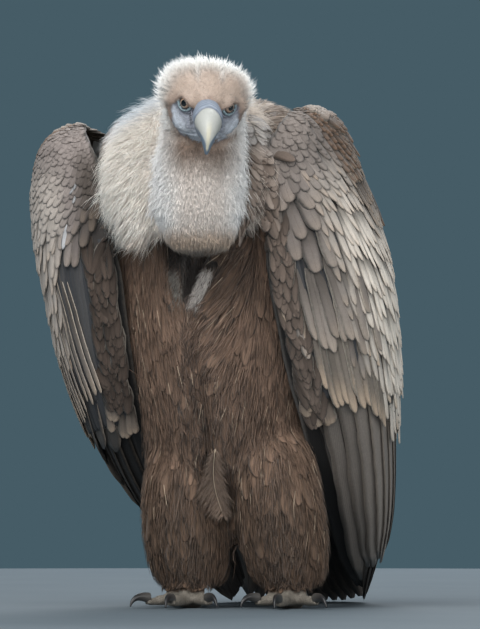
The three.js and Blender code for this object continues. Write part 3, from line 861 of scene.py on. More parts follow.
def skin_marking(places, part):
    """Bare skin on the face and feet, and elsewhere the coat's colour, darker, as painted shade for what
    shows through it.
    """
    h = to_head(places)
    # under the coat the skin is painted darker, as the shade deep in the coat; the wings' dark brown too
    tone = head_marking(places) * 0.8
    for name, marking, shade in (("neck", neck_marking, 0.85), ("ruff", ruff_marking, 0.85),
                                 ("trunk", body_marking, 0.55), ("thigh", body_marking, 0.55)):
        tone = np.where((part == name)[:, None], marking(places) * shade, tone)
    tone = np.where((part == "wing")[:, None], colour(58, 53, 50), tone)
    tone = np.where((part == "foot")[:, None], SCUTE, tone)
    tone = mix(tone, colour(34, 28, 25), ((part == "trunk") * crop_hole(places))[:, None])
    is_face = ((part == "head") & (h[:, 1] > -34))[:, None] * smooth(1.5, -1.5, outside_face(h))[:, None]
    tone = mix(tone, face_marking(h), is_face)
    alpha = np.maximum(is_face, (part == "foot")[:, None] * 1.0)
    return np.concatenate([tone, alpha], 1)


set_point(skin, "tint", "FLOAT_COLOR", skin_marking(co, root_part))
FLESH_NODES = ["head", "neck", "ruff", "trunk"] + [f"{k}_{s}" for k in ("thigh", "foot") for s in SIDES]
FLESH_NODES += [f"wing_{s}_coverts" for s in SIDES]
skin.polygons.foreach_set("use_smooth", np.ones(len(skin.polygons), bool))
show("skin", skin, skin_material(), "down", *FLESH_NODES)

# the skin as triangles, for roots and for feathers that follow it
skin.calc_loop_triangles()
tri = np.zeros(len(skin.loop_triangles) * 3, np.int32)
skin.loop_triangles.foreach_get("vertices", tri)
tri = tri.reshape(-1, 3)
corner = co[tri]
tri_area = np.linalg.norm(np.cross(corner[:, 1] - corner[:, 0], corner[:, 2] - corner[:, 0]), axis=1) / 2
tri_middle = corner.mean(1)
tri_part = root_part[tri[:, 0]]
skin_tree = BVHTree.FromPolygons([tuple(p) for p in co], [tuple(int(i) for i in t) for t in tri])


def roots(names, density):
    """Random places on the skin of these parts: their points and normals. density is for each mm2."""
    mine = np.flatnonzero(np.isin(tri_part, names))
    weight = tri_area[mine] * density(tri_middle[mine]) * THIN
    count = rng.poisson(weight)
    picked = np.repeat(mine, count)
    a, b = rng.random((2, len(picked)))
    over = a + b > 1
    a, b = np.where(over, 1 - a, a), np.where(over, 1 - b, b)
    share = np.stack([1 - a - b, a, b], -1)[..., None]
    order = rng.permutation(len(picked))
    place, out = (corner[picked] * share).sum(1), (normal[tri[picked]] * share).sum(1)
    return place[order], unit(out)[order]


def spread(places, gap):
    """The indices of places that stay at least about gap apart."""
    tree = KDTree(len(places))
    for i, p in enumerate(places):
        tree.insert(p, i)
    tree.balance()
    kept = np.ones(len(places), bool)
    gap = np.broadcast_to(gap, len(places))
    for i, p in enumerate(places):
        if kept[i]:
            for _, j, _ in tree.find_range(p, gap[i]):
                if j > i:
                    kept[j] = False
    return np.flatnonzero(kept)


# ---------------------------------------------------------------- coats
HAIR_RING = np.array([(np.cos(a), np.sin(a)) for a in around(3) + np.pi / 2])
VANE_RING = np.array([(-1, 0), (-0.5, 0.55), (0, 1), (0.5, 0.55), (1, 0), (0, -0.7)])
PATCH = 0.003  # a tuft's share of the bake map


class Coat:
    """Gathers closed tufts and feathers and makes one mesh of them."""

    mirror = 1

    def __init__(self):
        self.points, self.faces, self.tint, self.vane, self.bake, self.count = [], [], [], [], [], 0

    def add(self, spine, up, half, thick, tint, fringe=0.0, patch=None, size=PATCH, ring=HAIR_RING,
            camber=0.0, tip=True, t=None):
        """n feathers of k stations: spine, up and tint are (n, k, 3), half and thick (n, k). patch is each
        root's place on the map; a pointed one ends in a tip, and others in the last ring."""
        n, k = spine.shape[:2]
        r = len(ring)
        ahead = unit(np.gradient(spine, axis=1))
        up = unit(up - ahead * dot(up, ahead)[..., None])
        across = np.cross(ahead, up)
        x, y = ring[:, 0], ring[:, 1]
        rise = thick[..., None] * y - camber * half[..., None] * x**2
        body = spine[:, :, None] + across[:, :, None] * (half[..., None] * x)[..., None]
        body = body + up[:, :, None] * rise[..., None]
        t = np.linspace(0, 1, k) if t is None else t
        along = np.broadcast_to(t[None, :, None], (n, k, r))
        vane = np.stack([np.broadcast_to(x * self.mirror, (n, k, r)), along], -1)
        tint = np.broadcast_to(tint[:, :, None], (n, k, r, 3))
        fringe = np.broadcast_to(np.reshape(fringe, (-1, 1, 1, 1)), (n, k, r, 1))
        rgba = np.concatenate([tint, fringe], -1)
        size = np.broadcast_to(size, (n, 2))
        place = np.zeros((n, 2)) + 0.5 if patch is None else patch
        bake = place[:, None, None] + (vane * (0.5, 1) - (0, 0.5)) * size[:, None, None]

        def packed(values):
            flat = values.reshape(n, k * r, -1)
            if not tip:
                return flat.reshape(n * k * r, -1)
            end = values[:, -1].mean(1)[:, None]
            return np.concatenate([flat[:, : (k - 1) * r], end], 1).reshape(-1, values.shape[-1])

        stride = (k - 1) * r + 1 if tip else k * r
        first = (np.arange(n) * stride + self.count)[:, None, None]
        walls = k - 2 if tip else k - 1
        i, j = np.meshgrid(np.arange(walls), np.arange(r), indexing="ij")
        a, b = (i * r + j).ravel(), (i * r + (j + 1) % r).ravel()
        self.faces.append((first + np.stack([a, a + r, b + r, b], -1)).reshape(-1, 4))
        self.faces.append((first[:, :, 0] + np.arange(r)[None]).reshape(-1, r))
        j = np.arange(r)
        last = (k - 2) * r if tip else (k - 1) * r
        if tip:
            fan = np.stack([last + j, np.full(r, last + r), last + (j + 1) % r], -1)
            self.faces.append((first + fan).reshape(-1, 3))
        else:
            self.faces.append((first[:, :, 0] + (last + j[::-1])[None]).reshape(-1, r))
        for store, values in ((self.points, body), (self.tint, rgba), (self.vane, vane), (self.bake, bake)):
            store.append(packed(values))
        self.count += n * stride

    def make(self, name, material, slot, *nodes):
        mesh = new_mesh(name, np.concatenate(self.points), self.faces)
        set_point(mesh, "tint", "FLOAT_COLOR", np.concatenate(self.tint))
        vane = np.concatenate(self.vane)
        set_point(mesh, "vane", "FLOAT_VECTOR", np.concatenate([vane, 0 * vane[:, :1]], 1))
        set_bake(mesh, np.concatenate(self.bake))
        return show(name, mesh, material, slot, *nodes)


def stations(rows, t):
    """A profile given as pairs of place and value, at the places t."""
    x, y = np.array(rows, float).T
    return np.interp(t, x, y)


def tipward(k):
    """k places from root to tip, close together by the tip, which keeps it round."""
    return 1 - (1 - np.linspace(0, 1, k)) ** 1.7


def tufts(coat, place, out, way, length, width, tint_root, tint_tip, patch, k=3, droop=0.0, stand=0.5,
          curl=0.0):
    """Fine tufts: each starts under the skin and bends from out towards way, then droops."""
    n = len(place)
    t = np.linspace(0, 1, k)[None, :, None]
    length, stand = np.reshape(length, (-1, 1, 1)), np.reshape(stand, (-1, 1, 1))
    start = unit(out[:, None] * stand + way[:, None] * (1 - stand))
    end = unit(way + rng.normal(0, 0.16, (n, 3)))[:, None]
    path = start * t + (end - start) * (t**2) * 0.5
    path = path + DOWN * droop * t**2
    if curl:
        path = path + np.cross(out, way)[:, None] * rng.uniform(-curl, curl, (n, 1, 1)) * t**2
    spine = (place - out * 0.8)[:, None] + path * length
    half = np.reshape(width, (-1, 1)) / 2 * np.linspace(1, 0.35, k)[None]
    half[:, 1:-1] *= 1.1
    tint = mix(tint_root[:, None], tint_tip[:, None], t)
    up = np.broadcast_to(out[:, None], spine.shape)
    coat.add(spine, up, half, half * 0.55, tint, 0.0, patch)


def round_body(places, centre=(0, 40)):
    """The trunk's own unwrap: the angle round its upright axis, and the height."""
    u = np.arctan2(places[:, 0] - centre[0], places[:, 1] - centre[1]) / (2 * np.pi) + 0.5
    return np.stack([u, np.clip(places[:, 2] / 620, 0, 1)], -1) * 0.98 + 0.01


def round_head(places):
    """The head's own unwrap: the angle round its forward axis, and the place along it."""
    side, forward, up = to_head(places).T
    u = np.arctan2(side, up + 5) / (2 * np.pi) + 0.5
    return np.stack([u, np.clip((forward + 72) / 112, 0, 1)], -1) * 0.98 + 0.01


def tangent(way, out):
    return unit(way - out * dot(way, out)[:, None])


# ---------------------------------------------------------------- down of the head
down = down_material("down")


def head_way(place, out):
    """Down grows back and away from the bill."""
    h = to_head(place)
    away = h - np.array([0, 30, -14])
    away[:, 1] = -np.abs(away[:, 1]) * 0.8
    return tangent((away * FLIP) @ HEAD_TURN.T, out)


def head_tufts(coat, density, length, width, stand, pale, loose):
    """Down over the head: density, length, width and stand are (at the face, far from it)."""
    far = lambda p: shaggy(to_head(p))
    place, out = roots(["head"], lambda p: mix(*density, far(p)) * (outside_face(to_head(p)) > -1))
    n = len(place)
    f = far(place)
    size = mix(*length, f) * vary(n, 0.3)
    way = unit(head_way(place, out) + rng.normal(0, loose, (n, 3)))
    tone = head_marking(place) * vary((n, 1), 0.1)
    tip = np.minimum(mix(tone, CROWN, pale * f[:, None]) * 1.08, 1)
    tufts(coat, place, out, way, size, mix(*width, f) * vary(n, 0.2), tone * 0.92, tip, round_head(place),
          stand=mix(*stand, f))


coat = Coat()
head_tufts(coat, (1.7, 0.62), (4.0, 11.0), (0.5, 0.9), (0.3, 0.6), 0.5, 0.16)
coat.make("head_down", down, "down")

coat = Coat()
head_tufts(coat, (0.15, 0.22), (5.0, 17.0), (0.35, 0.5), (0.4, 0.85), 0.9, 0.2)
head_tufts(coat, (0.0, 0.2), (8.0, 20.0), (0.5, 0.9), (0.6, 1.0), 1.0, 0.09)
BARE_ROUND_EYE = 20  # no bristle grows within this of the left eye
from_eye = lambda p: np.linalg.norm(to_head(p) - EYE_PLACE, axis=1)
place, out = roots(["head"], lambda p: 0.35 * face_zone(p, -2) * (from_eye(p) > BARE_ROUND_EYE))
n = len(place)  # short pale bristles on the bare face
way = unit(head_way(place, out) + rng.normal(0, 0.4, (n, 3)))
tone = mix(FACE, CROWN, rng.uniform(0.0, 0.5, (n, 1)))
tufts(coat, place, out, way, rng.uniform(1.8, 3.4, n), rng.uniform(0.22, 0.36, n), tone * 0.8, tone,
      round_head(place))
coat.make("head_plumes", down, "down")

# ---------------------------------------------------------------- down of the neck
NECK_AXIS, RUFF_AXIS = (-16, -124), (-20, -80)  # x and y of the upright lines that their maps go round
coat = Coat()
place, out = roots(["neck"], lambda p: np.where(p[:, 1] < -95, 0.55, 0.2))
n = len(place)
way = unit(tangent(DOWN, out) + rng.normal(0, 0.22, (n, 3)))
nape = smooth(545, 575, place[:, 2]) * smooth(-130, -110, place[:, 1])
length = rng.uniform(6, 11, n) * mix(1.0, 2.3, nape)
tone = neck_marking(place) * vary((n, 1), 0.08)
tufts(coat, place, out, way, length, rng.uniform(0.6, 1.1, n), tone * 0.9, np.minimum(tone * 1.08, 1),
      round_body(place, NECK_AXIS), 3, 0.12, 0.42, 0.15)
at_sides = lambda p: (np.abs(p[:, 0] + 15) > 32) * (p[:, 1] < -85) * (p[:, 2] > 440)
place, out = roots(["neck"], lambda p: 0.16 * at_sides(p))
n = len(place)  # a loose white fringe at its sides
way = unit(tangent(DOWN, out) + rng.normal(0, 0.3, (n, 3)))
tone = neck_marking(place) * vary((n, 1), 0.06)
tufts(coat, place, out, way, rng.uniform(12, 22, n), rng.uniform(0.5, 0.9, n), tone * 0.9,
      np.minimum(tone * 1.08, 1), round_body(place, NECK_AXIS), 3, 0.1, 0.7, 0.15)
coat.make("neck_down", down, "down")

# ---------------------------------------------------------------- the ruff's plumes
NECK_MIDDLE = np.array([-16, -118])


def ruff_tufts(coat, density, length, width, k, droop, stand, loose, curl, spread_out):
    """Plumes that hang and spread away from the neck; length and width are (least, most)."""
    place, out = roots(["ruff"], density)
    n = len(place)
    outward = unit(np.concatenate([place[:, :2] - NECK_MIDDLE, np.zeros((n, 1))], 1))
    way = unit(tangent(DOWN * 0.9 + outward * spread_out, out) + rng.normal(0, loose, (n, 3)))
    tone = ruff_marking(place) * vary((n, 1), 0.1)
    tufts(coat, place, out, way, rng.uniform(*length, n), rng.uniform(*width, n), tone * 0.92,
          np.minimum(tone * 1.1, 1), round_body(place, RUFF_AXIS), k, droop, stand, curl)


coat = Coat()
even = lambda density: lambda p: np.full(len(p), density)
ruff_tufts(coat, even(0.13), (15, 28), (0.5, 0.9), 4, 0.18, 0.45, 0.14, 0.06, 0.7)
ruff_tufts(coat, even(0.045), (22, 36), (0.4, 0.7), 4, 0.25, 0.6, 0.14, 0.06, 0.9)
at_side = lambda p: 0.14 * smooth(-72, -95, p[:, 0]) * smooth(390, 420, p[:, 2])
ruff_tufts(coat, at_side, (16, 34), (0.45, 0.8), 4, 0.2, 0.85, 0.14, 0.05, 0.9)
coat.make("ruff_plumes", down, "down")
coat = Coat()
ruff_tufts(coat, even(0.32), (9, 17), (0.6, 1.1), 3, 0.1, 0.45, 0.2, 0.1, 0.6)
coat.make("ruff_down", down, "down")


# ---------------------------------------------------------------- body feathers
def follow(place, way, length, t, lift):
    """Spines that run along the skin from place towards way and stand off it more and more."""
    n, k = len(place), len(t)
    spine, ups = np.zeros((n, k, 3)), np.zeros((n, k, 3))
    here, heading = place.copy(), way.copy()
    for i in range(k):
        found = [skin_tree.find_nearest(p, 60) for p in here]
        on = np.array([f[0] if f[0] is not None else p for f, p in zip(found, here)])
        out = np.array([f[1] if f[1] is not None else (0, 0, 1) for f in found])
        if i == 0:
            first_out = out
        out = unit(mix(out, first_out, 0.35))
        far = np.linalg.norm(on - here, axis=1) > 9
        on = np.where(far[:, None], here, on)
        spine[:, i] = on + out * lift[:, i, None]
        ups[:, i] = out
        heading = unit(heading - out * dot(heading, out)[:, None] * 0.8)
        here = on + heading * (length * (t[min(i + 1, k - 1)] - t[i]))[:, None]
    return spine, ups


BODY_PROFILE = [(0, 0.35), (0.15, 0.75), (0.4, 1), (0.7, 0.95), (0.88, 0.7), (0.96, 0.42), (1, 0.12)]
contour = feather_material(
    "contour_feather", 0.88, colour(196, 176, 152), 0.07, 0.0, colour(150, 124, 104), 160.0, 0.3)


def ordered_cells(where):
    """Square patches on the map, one for each feather and in the order of their places, row by row."""
    n = len(where)
    across = int(math.ceil(math.sqrt(n)))
    order = np.argsort(where[:, 1], kind="stable")
    patch = np.zeros((n, 2))
    for row in range(across):
        group = order[row * across:(row + 1) * across]
        group = group[np.argsort(where[group, 0], kind="stable")]
        patch[group, 0] = (np.arange(len(group)) + 0.5) / across
        patch[group, 1] = (row + 0.5) / across
    return patch, 0.86 / across


def lay_contours(coat, place, spine, ups, half, tone, dark, pale, worn, t):
    """Feathers of the body, from dark at the root, painted shade under the ones that overlap it, to pale at
    the tip, each with its patch of the map.
    """
    # the dark root is painted shade under the feathers that overlap it
    tint = mix(tone[:, None] * dark, tone[:, None] * pale, t[None, :, None] ** 0.8)
    patch, cell = ordered_cells(round_body(place))
    coat.add(spine, ups, half, np.full(half.shape, BODY_VANE), tint, rng.uniform(0.0, worn, len(place)),
             patch, cell, VANE_RING, 0.25, False, t)


def body_way(place, out, loose):
    """Feathers hang, lean back over the hump and the back, and part at the cleft below the crop."""
    x, y, z = place.T
    back = smooth(0, 60, y)[:, None] * np.array([0, 0.5, 0])
    top = smooth(505, 545, z)[:, None] * np.array([0, 0.9, 0])
    off = x - cleft_x(z)
    front = smooth(20, -30, y) * smooth(250, 330, z)
    inward = -0.85 * front * smooth(75, 45, off) * smooth(-2, 12, off)
    inward = inward + 0.25 * front * smooth(-60, -30, off) * smooth(0, -10, off)
    aside = inward[:, None] * np.array([1.0, 0, 0])
    return unit(tangent(DOWN + back + top + aside, out) + rng.normal(0, loose, place.shape))


def clear_of_floor(place, length):
    """Shortens what starts near the floor, and says which are then still long enough."""
    length = np.minimum(length, (place[:, 2] - 15) * rng.uniform(0.75, 1.0, len(place)))
    return length, length > 12


def clear_of_crop(spine):
    """Which feathers lie over neither the hollow nor the down beside it."""
    return crop_share(spine.reshape(-1, 3)).reshape(spine.shape[:2]).max(1) < 0.5


BODY_PARTS = ["trunk", "thigh"]
coat = Coat()
off_crop = lambda p: (crop_share(p) < 0.3) * (1 - above_crop(p))
place, out = roots(BODY_PARTS, lambda p: 0.03 / THIN * off_crop(p))
kept = spread(place, 11.6)
place, out = place[kept], out[kept]
length = rng.uniform(50, 80, len(place)) * mix(1.0, 0.7, smooth(520, 550, place[:, 2]))
length, long_enough = clear_of_floor(place, length)
place, out, length = place[long_enough], out[long_enough], length[long_enough]
n, t = len(place), tipward(9)
lift = t[None] ** 1.1 * rng.uniform(3.0, 6.5, (n, 1)) - 0.6
spine, ups = follow(place, body_way(place, out, 0.10), length, t, lift)
kept = clear_of_crop(spine)
place, length, spine, ups = place[kept], length[kept], spine[kept], ups[kept]
n = len(place)
ups = unit(ups + rng.normal(0, 0.10, (n, 1, 3)))
half = rng.uniform(8.5, 13.5, (n, 1)) * np.minimum(length / 45, 1)[:, None] * stations(BODY_PROFILE, t)[None]
half = half * rng.uniform(0.9, 1.1, half.shape)
tone = body_marking(place) * vary((n, 1), 0.12)
lay_contours(coat, place, spine, ups, half, tone, 0.66, 1.05, 0.25, t)
coat.make("body_feathers", contour, "contour")

barbs = down_material("barbs", 0.2, 0.15)
for name, amount, zone in (
        ("front", 0.059, lambda p: p[:, 1] < 60), ("back", 0.027, lambda p: p[:, 1] >= 60)):
    coat = Coat()  # loose barbs, which fray the feathers' outline, and a few pale shafts
    place, out = roots(BODY_PARTS, lambda p: amount * zone(p) * off_crop(p))
    length, long_enough = clear_of_floor(place, rng.uniform(24, 54, len(place)))
    place, out, length = place[long_enough], out[long_enough], length[long_enough]
    n, t = len(place), np.linspace(0, 1, 4)
    lift = t[None] ** 0.7 * rng.uniform(4.5, 8.5, (n, 1)) + 0.5
    spine, ups = follow(place, body_way(place, out, 0.14), length, t, lift)
    kept = clear_of_crop(spine)
    place, spine, ups = place[kept], spine[kept], ups[kept]
    n = len(place)
    half = rng.uniform(0.35, 0.9, (n, 1)) * stations([(0, 0.7), (0.5, 1), (1, 0.3)], t)[None]
    tone = body_marking(place) * vary((n, 1), 0.25)
    tint = mix(tone[:, None] * 0.75, tone[:, None] * 1.18, t[None, :, None])
    coat.add(spine, ups, half, half * 0.5, tint, 0.0, round_body(place))
    shafts = lambda p: zone(p) * 0.0015 / THIN * (crop_share(p) < 0.3) * (p[:, 2] > 50)
    place, out = roots(BODY_PARTS, shafts)
    n = len(place)
    lift = stations([(0, 0.8), (1, 1)], t)[None] * rng.uniform(5.0, 7.0, (n, 1))
    spine, ups = follow(place, body_way(place, out, 0.10), rng.uniform(14, 32, n), t, lift)
    half = rng.uniform(0.35, 0.6, (n, 1)) * stations([(0, 0.7), (0.5, 1), (1, 0.4)], t)[None]
    pale = mix(body_marking(place), colour(206, 186, 162), rng.uniform(0.3, 0.85, (n, 1)))
    coat.add(spine, ups, half, half * 0.6, np.repeat(pale[:, None], len(t), 1), 0.0, round_body(place))
    coat.make("body_barbs_" + name, barbs, "contour")

# the crop: short dark fuzz in the hollow, whitish down on both sides, and one loose plume lower down
coat = Coat()
place, out = roots(["trunk"], lambda p: 0.7 * ((crop_share(p) > 0.2) | (above_crop(p) > 0)))
n = len(place)
dark = np.where(crop_share(place) > 0.2, crop_hole(place), 1.0)[:, None]
pale = mix(colour(124, 119, 112), colour(200, 193, 187), smooth(-38, -28, place[:, 0])[:, None])
pale = mix(body_marking(place), pale, smooth(0.2, 0.8, crop_share(place))[:, None])
tone = mix(pale, colour(40, 33, 29), dark) * vary((n, 1), 0.35)
way = unit(tangent(DOWN + np.array([-0.5, 0, 0]) * (1 - dark), out) + rng.normal(0, 0.2, (n, 3)))
tufts(coat, place, out, way, rng.uniform(6, 14, n), rng.uniform(0.5, 1.0, n), tone * 0.8, tone * 1.15,
      round_body(place), 4, 0.1, 0.35, 0.15)
PLUME_TOP, PLUME_END, PLUME_BARB = 178, 104, 30
PLUME_REACH = (-22, -12, 0, 12, 22)  # how far to each side of the shaft the belly is felt for


def plume_stem(run):
    """Places along the plume's shaft, which bends to one side and lies over the belly's feathers."""
    z = mix(PLUME_TOP, PLUME_END, run)
    x = 9 * run - 6 * np.sin(np.pi * run)
    belly_y = lambda a, b: min(skin_tree.ray_cast((a + off, -300, b), (0, 1, 0))[0].y for off in PLUME_REACH)
    y = np.polyval(np.polyfit(run, [belly_y(a, b) for a, b in zip(x, z)], 2), run)
    return np.stack([x, y - 5, z], -1)


n = 420
run = np.sort(rng.random(n))
stem = plume_stem(run)
flank = rng.choice([-1.0, 1.0], n)[:, None] * np.array([1.0, 0, 0]) * rng.uniform(0.5, 1.0, (n, 1))
face_out = np.tile(unit(np.array([-0.2, -1.0, 0.05])), (n, 1))
tone = mix(colour(108, 89, 76), colour(140, 121, 106), rng.random((n, 1)))
way = unit(flank + DOWN * rng.uniform(0.7, 1.3, (n, 1)))
length = PLUME_BARB * np.sin(np.pi * mix(0.12, 0.9, run)) * vary(n, 0.2)
tufts(coat, stem, face_out, way, length, rng.uniform(0.5, 0.9, n), tone * 0.85, tone * 1.05,
      round_body(stem), 5, 0.05, 0.12, 0.12)
k = 12
t = np.linspace(0, 1, k)
stem = plume_stem(t) + np.array([0, -1.5, 0])
half = mix(0.7, 0.25, t)[None]
tint = np.tile(colour(196, 178, 156), (1, k, 1))
coat.add(stem[None], np.tile(face_out[0], (1, k, 1)), half, half * 0.7, tint, 0.0, round_body(stem[:1]))
coat.make("crop_down", barbs, "contour")


# ---------------------------------------------------------------- wings
ROUND_PROFILE = [(0, 0.4), (0.2, 0.8), (0.45, 1), (0.8, 1), (0.92, 0.84), (0.975, 0.6), (1, 0.3)]
NARROW_PROFILE = [(0, 0.35), (0.2, 0.8), (0.5, 1), (0.8, 0.9), (0.93, 0.6), (1, 0.16)]
LONG_PROFILE = [(0, 0.5), (0.2, 0.9), (0.5, 1), (0.9, 0.97), (0.965, 0.74), (1, 0.28)]
REMIGE_PROFILE = [(0, 0.5), (0.1, 0.8), (0.4, 1), (0.8, 1), (0.92, 0.8), (0.98, 0.42), (1, 0.15)]
QUILL_RING = np.array([
    (-1, 0), (-0.6, 0.5), (-0.15, 0.5), (0, 1.5), (0.15, 0.5), (0.6, 0.5), (1, 0),
    (0.15, -0.5), (0, -1.2), (-0.15, -0.5)])
MOST_S = 0.996


def on_wing(sign, s0, s1, w0, w1, t, low, high):
    """Spines over the wing from (s0, w0) to (s1, w1), lifted from low to high off its outer face."""
    t = t[None]
    s, w = mix(s0[:, None], s1[:, None], t), mix(w0[:, None], w1[:, None], t)
    point, along, across, out = wing_frame(sign, s, w)
    beyond = np.maximum(s - MOST_S, 0) * np.linalg.norm(along, axis=-1)  # past the end it runs straight on
    point = point + unit(along) * beyond[..., None]
    lift = mix(low[:, None], high[:, None], t)
    return point + out * lift[..., None], out


def wing_run(sign, s):
    """Steps of w round the wing at one s, and the length of its outer face up to each."""
    w = np.linspace(0, 1, 81)
    run = np.linalg.norm(np.diff(wing_point(sign, np.full(81, s), w), axis=0), axis=1)
    return w, np.concatenate([[0], np.cumsum(run)])


def even_w(sign, s, share):
    """The w at a share of the way round the wing, by length, at one s."""
    w, run = wing_run(sign, s)
    return np.interp(share * run[-1], run, w)


def shown_end(sign, w):
    """Where the coverts' last tips end over the remiges."""
    front = hump((w - 0.07) / 0.06)
    return covert_end(w) + 0.035 * smooth(0.01, 0.06, w) + (0.05 if sign > 0 else 0.02) * front


COVER_LENGTH, COVER_SHARE = 720, 0.66  # the wing's length, and the coverts' mean share of it


def rows_of(sign, first, last, gap, side_gap, low_w=0.0, high_w=1.0):
    """Staggered tips (s, w, q) of rows over the share q from first to last of the covert area. gap and
    side_gap are (at the top, at the end)."""
    found, q, row = [], first, 0
    while q < last:
        s_mid = max(q * COVER_SHARE, 0.01)
        count = max(3, int(wing_run(sign, s_mid)[1][-1] / mix(*side_gap, q)))
        share = (np.arange(count) + 0.5 * (row % 2) + rng.uniform(-0.2, 0.2, count)) / count
        w = np.clip(even_w(sign, s_mid, share), 0.004, 0.996)
        step = mix(*gap, q) / (COVER_SHARE * COVER_LENGTH)
        jitter = rng.uniform(-0.35, 0.35, count) * step
        found.append(np.stack([(q + jitter) * shown_end(sign, w), w, q + jitter], -1))
        q += step
        row += 1
    s, w, q = np.concatenate(found).T
    after = w >= low_w + rng.uniform(-0.012, 0.012, len(w)) * (low_w > 0)
    keep = after & (w <= high_w + rng.uniform(-0.02, 0.02, len(w)))
    return s[keep], w[keep], q[keep]


def sweep(sign, s, w):
    """How far back the feathers lean as they run down, as w for each unit of s: most on the shoulder."""
    return (0.6 if sign > 0 else 0.9) * smooth(0.47, 0.34, s) * smooth(0.42, 0.22, w)


class WingCoat(Coat):
    """A wing's feathers. Each gets its own square of the bake map, in the order of its place."""

    def __init__(self, sign):
        super().__init__()
        self.sign = self.mirror = sign
        self.wheres, self.sizes = [], []

    def pick(self, left, right):
        """Whichever of the two belongs to this wing."""
        return left if self.sign > 0 else right

    def feathers(self, s, w, length, width, base, tip_tone, profile, k, lift, fringe, w0=None, roll=0.10,
                 dark=0.3):
        """Feathers with their tips at (s, w), and their roots at w0 where that is given. lift is how far
        off the wing they lie (at the root, at the tip), and dark is the share of base at the root, painted
        shade under the feathers that overlap it."""
        n, sign, t = len(s), self.sign, tipward(k)
        scale = np.linalg.norm(wing_frame(sign, np.clip(s, 0, 0.99), w)[1], axis=-1)
        s0 = np.maximum(s - length / scale, 0.002)
        if w0 is None:
            w0 = np.clip(w - sweep(sign, s, w) * (s - s0) + rng.normal(0, 0.007, n), 0.002, 0.998)
        low, high = (v * vary(n, 0.2) for v in lift)
        spine, out = on_wing(sign, s0, s, w0, w, t, low, high)
        above_floor(spine, FEATHER_GAP)
        half = (width / 2)[:, None] * stations(profile, t)[None] * rng.uniform(0.93, 1.07, (n, k))
        share = t[None, :, None]
        # darker towards the root: painted shade under the feathers that overlap it
        tint = mix(base[:, None] * dark, base[:, None], smooth(0.3, 0.76, share))
        tint = mix(tint, tip_tone[:, None], smooth(0.74, 1.0, share))
        ahead = unit(np.gradient(spine, axis=1))
        ups = unit(out - np.cross(ahead, out) * (roll * sign + rng.normal(0, 0.07, (n, 1, 1))))
        thick = np.full((n, k), WING_VANE)
        self.add(spine, ups, half, thick, tint, fringe, None, PATCH, VANE_RING, 0.3, False, t)
        self.wheres.append(np.stack([w, s], -1))
        self.sizes.append(np.full(n, k * len(VANE_RING)))

    def settle(self):
        """Gives each feather its square of the map, once all of them are there."""
        patch, cell = ordered_cells(np.concatenate(self.wheres))
        sizes = np.concatenate(self.sizes)
        vane = np.concatenate(self.vane)
        self.bake = [np.repeat(patch, sizes, axis=0) + (vane * (0.5, 1) - (0, 0.5)) * cell]


covert = feather_material(
    "covert_feather", 0.8, colour(96, 84, 74), 0.05, 0.3, colour(214, 202, 186), 260.0, 0.34, 0.4)
remige = feather_material(
    "remige_feather", 0.62, colour(52, 46, 42), 0.035, 0.85, colour(150, 138, 126), 300.0, 0.25, 0.6)
SHOULDER, SHOULDER_RIGHT, INNER = colour(114, 106, 101), colour(126, 117, 113), colour(72, 65, 60)
# the first is pale, and on the left wing's outer side partly painted light
OUTER, BACK_COVERT, DARK_EDGE = colour(228, 218, 206), colour(128, 115, 104), colour(76, 64, 55)
RUFOUS, BROWN, BLACK = colour(142, 108, 82), colour(72, 61, 54), colour(36, 35, 35)
SLIM = 0.14  # in front of this w the coverts are broad, and behind it narrow


def covert_base(sign, s, w):
    """Grey-brown on the shoulder and pale further out, brown behind; darker on the bird's right wing. The
    left wing's pale outer side is partly painted light, brightened where it turns from the key light.
    """
    n = len(s)
    if sign > 0:
        # the left wing's pale outer side, partly painted light
        base = mix(SHOULDER, OUTER, (smooth(0.11, 0.28, w) * smooth(0.26, 0.52, s))[:, None])
    else:
        base = mix(SHOULDER_RIGHT, INNER, (smooth(0.10, 0.03, w) * smooth(0.14, 0.28, s))[:, None])
        base = mix(base, OUTER, 0.35 * (smooth(0.08, 0.16, w) * smooth(0.20, 0.36, s))[:, None])
    base = mix(base, BACK_COVERT, smooth(0.46, 0.62, w)[:, None])
    edge = smooth(0.34, 0.44, w) * smooth(0.66, 0.50, w) * smooth(0.54, 0.40, s)
    return mix(base, DARK_EDGE, (0.9 if sign > 0 else 0.7) * edge[:, None]) * vary((n, 1), 0.12)


def small_coverts(coat):
    """Short round feathers of the shoulder, which grow longer as they go down."""
    reach, gap, side_gap = coat.pick((0.50, (8.5, 20), (10.5, 14)), (0.60, (7.5, 14), (8.5, 11)))
    s, w, q = rows_of(coat.sign, 0.03, reach, gap, side_gap)
    n = len(s)
    outer = smooth(SLIM, SLIM + 0.12, w)
    length = mix(24, 56, q / 0.5) * mix(1, 1.15, outer) * vary(n, 0.15)
    least, most = coat.pick((14, 19), (11, 15))
    width = mix(least, most, q / reach) * mix(1, 0.75, outer) * vary(n, 0.15)
    base = covert_base(coat.sign, s, w)
    tips = mix(base * 1.12, RUFOUS, 0.5 * (smooth(0.36, 0.42, w) * smooth(0.64, 0.52, w))[:, None])
    coat.feathers(s, w, length, width, base, tips, ROUND_PROFILE, 8, (-3.2, 2.0), rng.uniform(0.0, 0.3, n))


def fine_coverts(coat):
    """Narrow feathers of the outer side."""
    s, w, _ = rows_of(coat.sign, coat.pick(0.44, 0.58), 0.93, (22, 26), (9, 8.5), SLIM, 0.55)
    n = len(s)
    base = covert_base(coat.sign, s, w) * 1.04
    tips = mix(base, BUFF, 0.3) * 1.12
    coat.feathers(s, w, rng.uniform(56, 84, n), rng.uniform(9, 13, n), base, tips, NARROW_PROFILE, 8,
                  (-3.2, 1.4), rng.uniform(0.1, 0.5, n))


